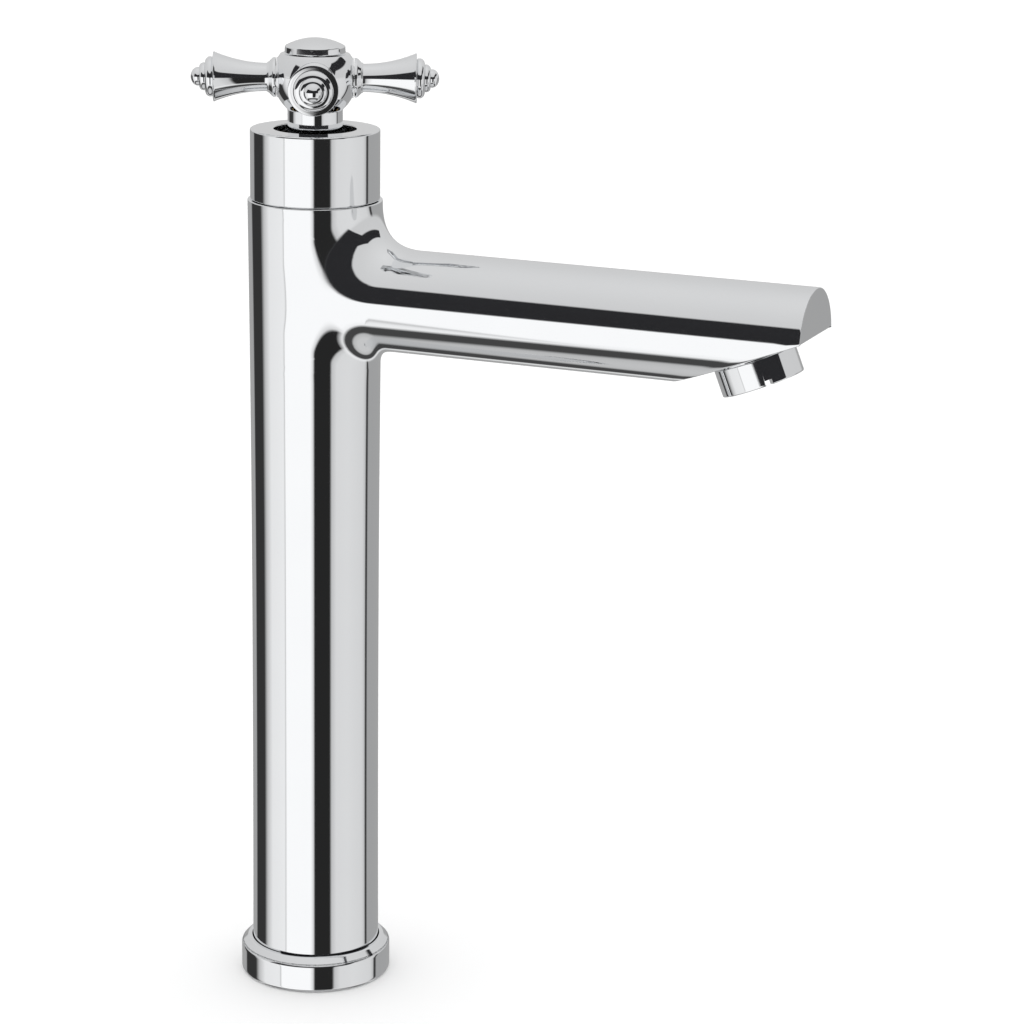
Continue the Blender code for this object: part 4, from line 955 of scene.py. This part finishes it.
# ---------------------------------------------------------------- aerator
@dataclass
class Aerator:
    """Threaded shell with a spanner notch, and its insert with ring grooves."""

    radius: float = 13.85 * MM
    thread: float = 11.8 * MM
    bore: float = 10.4 * MM
    lip: float = 9.6 * MM
    lip_height: float = 1.2 * MM
    thread_height: float = 5.0 * MM
    height: float = 9.0 * MM
    notch_width: float = 2.4 * MM
    notch_turn: float = math.radians(151.5)
    notch_height: float = 1.8 * MM
    groove_depth: float = 1.6 * MM
    edge: float = 0.45 * MM

    def place(self, casting: BodyCasting) -> Matrix:
        """Frame on the slanted face: +Z out of the metal, +Y towards the end face."""
        origin, along, outward = (Vector(row) for row in casting.slanted())
        turn = Matrix((along.cross(outward), along, outward)).transposed().to_4x4()
        return Matrix.Translation(origin) @ turn

    def shell(self, place: Matrix) -> Skin:
        """Turned shell whose lower rim steps up inside the notch's columns."""
        rim, bottom = 2 * CLEARANCE, 2 * CLEARANCE + self.height
        profile = rounded_line([
            (self.thread, -self.thread_height, 0.0), (self.thread, rim, 0.0),
            (self.radius, rim, 0.3 * MM), (self.radius, bottom, self.edge),
            (self.lip, bottom, 0.2 * MM), (self.lip, bottom - self.lip_height, 0.0),
            (self.bore, bottom - self.lip_height, 0.0), (self.bore, -self.thread_height, 0.0),
            (self.thread, -self.thread_height, 0.0)], steps=6, hold=0.2 * MM)
        half = math.asin(0.5 * self.notch_width / self.radius)
        inside = self.notch_turn + np.linspace(-half, half, 13)
        outside = self.notch_turn + np.linspace(half, math.tau - half, 180)
        grid = lathe(profile, np.concatenate([inside, outside]))
        notch = grid[:, :inside.size, 2]
        np.minimum(notch, bottom - self.notch_height, out=notch)
        return Skin(move(grid, place))

    def insert(self, place: Matrix) -> Skin:
        """Round insert with three ring grooves in the face that shows."""
        bottom = 2 * CLEARANCE + self.height - self.lip_height - CLEARANCE
        top = -self.thread_height + 0.7 * MM + CLEARANCE
        radius, floor = self.bore - CLEARANCE, bottom - self.groove_depth
        corners = [(0.0, top, 0.0), (radius, top, 0.2 * MM), (radius, bottom, 0.2 * MM)]
        for ring in (8.0, 5.6, 3.2):
            corners += [((ring + 0.6) * MM, bottom, 0.15 * MM), ((ring + 0.5) * MM, floor, 0.0),
                        ((ring - 0.5) * MM, floor, 0.0), ((ring - 0.6) * MM, bottom, 0.15 * MM)]
        corners.append((0.0, bottom, 0.0))
        return Skin(lathe(rounded_line(corners, steps=3, hold=0.08 * MM), INSERT_COLUMNS, place))

    def build(self, casting: BodyCasting, metal: Material,
              plastic: Material) -> None:
        """Make the aerator's pieces and let them stand for their CAD nodes."""
        place = self.place(casting)
        put("aerator_sleeve", self.shell(place), metal, Body.ROOT, "aerator_shell")
        put("aerator_insert", self.insert(place), plastic, Body.ROOT, "aerator_cage")


# ---------------------------------------------------------------- studio
@dataclass
class Studio:
    """Pale floor, white surround, soft boxes and dark flags as they show in the polish, camera."""

    camera_place: tuple[float, float, float] = (-0.987835, -0.483923, 0.463887)
    camera_heading: float = math.radians(26.099 - 3.563)
    camera_pitch: float = math.radians(14.977)
    camera_roll: float = math.radians(0.877)
    lens: float = 114.85
    floor_size: float = 6.0
    floor_grey: float = 0.92
    surround_light: float = 1.22

    def camera(self) -> None:
        """Camera that looks slightly down at the object from its front left."""
        heading, pitch, roll = self.camera_heading, self.camera_pitch, self.camera_roll
        forward = Vector((math.cos(heading) * math.cos(pitch), math.sin(heading) * math.cos(pitch),
                          -math.sin(pitch)))
        level = Vector((math.sin(heading), -math.cos(heading), 0.0))
        upright = level.cross(forward)
        right = level * math.cos(roll) + upright * math.sin(roll)
        up = right.cross(forward)
        data = bpy.data.cameras.new("studio_camera")
        data.lens, data.sensor_width, data.clip_start = self.lens, 36.0, 0.01
        camera = bpy.data.objects.new("studio_camera", data)
        turn = Matrix((right, up, -forward)).transposed().to_4x4()
        camera.matrix_world = Matrix.Translation(self.camera_place) @ turn
        bpy.context.scene.collection.objects.link(camera)
        bpy.context.scene.camera = camera

    def floor(self) -> None:
        """Wide pale floor that the polish doesn't mirror."""
        half = self.floor_size / 2
        mesh = bpy.data.meshes.new("studio_floor")
        mesh.from_pydata([(-half, -half, 0), (half, -half, 0), (half, half, 0), (-half, half, 0)], [],
                         [(0, 1, 2, 3)])
        floor = bpy.data.objects.new("studio_floor", mesh)
        floor.visible_glossy = False
        bpy.context.scene.collection.objects.link(floor)
        paint = bpy.data.materials.new("floor_paint")
        paint.use_nodes = True
        feed(paint.node_tree, paint.node_tree.nodes["Principled BSDF"],
             {"Base Color": (*(self.floor_grey,) * 3, 1.0), "Roughness": 0.9})
        mesh.materials.append(paint)

    def world(self) -> None:
        """Surround: white to the eye and to matt surfaces, soft boxes and flags to the polish."""
        world = bpy.data.worlds.new("studio_surround")
        bpy.context.scene.world = world
        world.use_nodes = True
        tree = world.node_tree
        tree.nodes.clear()
        direction = add_node(tree, "TexCoord").outputs["Generated"]
        x, y, z = add_node(tree, "SeparateXYZ", {0: direction}).outputs
        heading = math.atan2(self.camera_place[1], self.camera_place[0])
        facing = math_node(tree, "ADD", math_node(tree, "MULTIPLY", x, math.cos(heading)),
                           math_node(tree, "MULTIPLY", y, math.sin(heading)))
        sideways = math_node(tree, "SUBTRACT", math_node(tree, "MULTIPLY", y, math.cos(heading)),
                             math_node(tree, "MULTIPLY", x, math.sin(heading)))
        azimuth = math_node(tree, "MULTIPLY", math_node(tree, "ARCTAN2", sideways, facing),
                            180.0 / math.pi)
        height = math_node(tree, "MULTIPLY", math_node(tree, "ARCSINE", z), 180.0 / math.pi)
        polish = add_node(tree, "Background", {"Color": self.bands(tree, azimuth, height)})
        plain = add_node(tree, "Background", {"Color": (1.0, 1.0, 1.0, 1.0),
                                              "Strength": self.surround_light})
        path = add_node(tree, "LightPath").outputs["Is Glossy Ray"]
        mix = add_node(tree, "MixShader", {0: path, 1: plain.outputs[0], 2: polish.outputs[0]})
        add_node(tree, "OutputWorld", {0: mix.outputs[0]})

    def ramp(self, tree: NodeTree, value: NodeSocket, low: float, high: float,
             stops: list[tuple[float, float]]) -> NodeSocket:
        """Grey levels along a value, straight between the stops.

        Args:
            tree: The world's tree.
            value: Socket of the value.
            low: Value at the ramp's start.
            high: Value at the ramp's end.
            stops: (value, brightness from 0 to 1 as seen on screen) in order.

        Returns:
            The ramp's colour socket.
        """
        place = math_node(tree, "DIVIDE", math_node(tree, "SUBTRACT", value, low), high - low)
        node = add_node(tree, "ValToRGB", {0: place})
        marks = node.color_ramp.elements
        while len(marks) < len(stops):
            marks.new(1.0)
        for mark, (at, level) in zip(marks, stops):
            mark.position = (at - low) / (high - low)
            mark.color = (*(level ** SCREEN_GAMMA,) * 3, 1.0)
        return node.outputs[0]

    def bands(self, tree: NodeTree, azimuth: NodeSocket, height: NodeSocket) -> NodeSocket:
        """Brightness of the surround by direction.

        Below the horizon it is upright bands by azimuth, with a dark ring and a grey pool far down.
        Above it is a light dome, with a dark flag between a lower and an upper limit by azimuth.

        Args:
            tree: The world's tree.
            azimuth: Degrees from the camera's heading.
            height: Degrees above the horizon.

        Returns:
            The colour socket.
        """
        side = self.ramp(tree, azimuth, -180.0, 180.0, [
            (-180, 0.64), (-140, 0.64), (-136, 0.22), (-107, 0.22), (-99, 0.76), (-86, 0.93),
            (-58, 0.95), (-56.5, 0.72), (-55, 1.02), (-9, 1.02), (-4, 0.85), (-2, 0.17), (26, 0.17),
            (29, 0.78), (38, 0.87), (60, 0.88), (94, 0.85), (101, 0.76), (103, 0.24), (107, 0.24),
            (109, 0.64), (180, 0.64)])
        deep = self.ramp(tree, height, -90.0, 90.0, [
            (-90, 0.80), (-74, 0.80), (-65, 0.74), (-61, 0.28), (-50, 0.28), (-45, 0.97), (90, 0.97)])
        deep_mask = self.ramp(tree, height, -90.0, 90.0, [
            (-90, 1.0), (-46, 1.0), (-38, 0.0), (90, 0.0)])
        dome = self.ramp(tree, height, -90.0, 90.0, [(-90, 0.81), (10, 0.81), (40, 0.83), (90, 0.88)])
        dome_mask = self.ramp(tree, height, -90.0, 90.0, [(-90, 0.0), (-1, 0.0), (3, 1.0), (90, 1.0)])
        flag_top = self.limit(tree, azimuth, [
            (-180, 0), (-74, 0), (-66, 34), (-40, 32), (-10, 27), (6, 25), (40, 26), (58, 40), (112, 40),
            (122, 0), (180, 0)])
        flag_foot = self.limit(tree, azimuth, [(-180, 0), (50, 0), (62, 20), (120, 24), (180, 24)])
        under = self.step(tree, flag_top, height)
        over = self.step(tree, math_node(tree, "ADD", height, 2.5), flag_foot)
        flag = math_node(tree, "MULTIPLY", under, over)
        lit = blend(tree, deep_mask, side, deep)
        lit = blend(tree, dome_mask, lit, dome)
        return blend(tree, flag, lit, (0.022, 0.022, 0.024, 1.0))

    def limit(self, tree: NodeTree, azimuth: NodeSocket,
              stops: list[tuple[float, float]]) -> NodeSocket:
        """Height in degrees as a piecewise straight function of azimuth.

        Args:
            tree: The world's tree.
            azimuth: Degrees from the camera's heading.
            stops: (azimuth, height) in order.

        Returns:
            The height's socket.
        """
        share = math_node(tree, "MULTIPLY_ADD", azimuth, 1.0 / 360.0, 0.5)
        curve = add_node(tree, "FloatCurve", {"Value": share})
        points = curve.mapping.curves[0].points
        while len(points) < len(stops):
            points.new(0.5, 0.5)
        for point, (at, level) in zip(points, stops):
            point.location = ((at + 180.0) / 360.0, level / 90.0)
            point.handle_type = "VECTOR"
        curve.mapping.update()
        return math_node(tree, "MULTIPLY", curve.outputs[0], 90.0)

    def step(self, tree: NodeTree, larger: NodeSocket, smaller: NodeSocket,
             soft: float = 2.5) -> NodeSocket:
        """Mask that goes from 0 to 1 while larger - smaller goes from 0 to the soft width."""
        gap = math_node(tree, "SUBTRACT", larger, smaller)
        return math_node(tree, "DIVIDE", gap, soft, clamp=True)

    def build(self) -> None:
        """Set the studio round the object, with plain colour management."""
        bpy.context.scene.view_settings.view_transform = "Standard"
        self.camera()
        self.floor()
        self.world()


def main() -> None:
    """Build every piece in order."""
    logging.basicConfig(level=logging.INFO, format="%(name)s: %(message)s")
    groups = {"polish": polish_group(), "specks": speck_group(), "wear": wear_group()}
    materials = {finish.name: finish.material(groups) for finish in FINISHES}
    chrome = materials["polished_chrome"]
    dress_nodes(materials)
    casting = BodyCasting()
    casting.build(chrome)
    BaseRing().build(chrome)
    ValveCap().build(chrome)
    CrossHandle().build(chrome)
    Aerator().build(casting, chrome, materials["grey_acetal"])
    Studio().build()


if __name__ == "__main__":
    main()
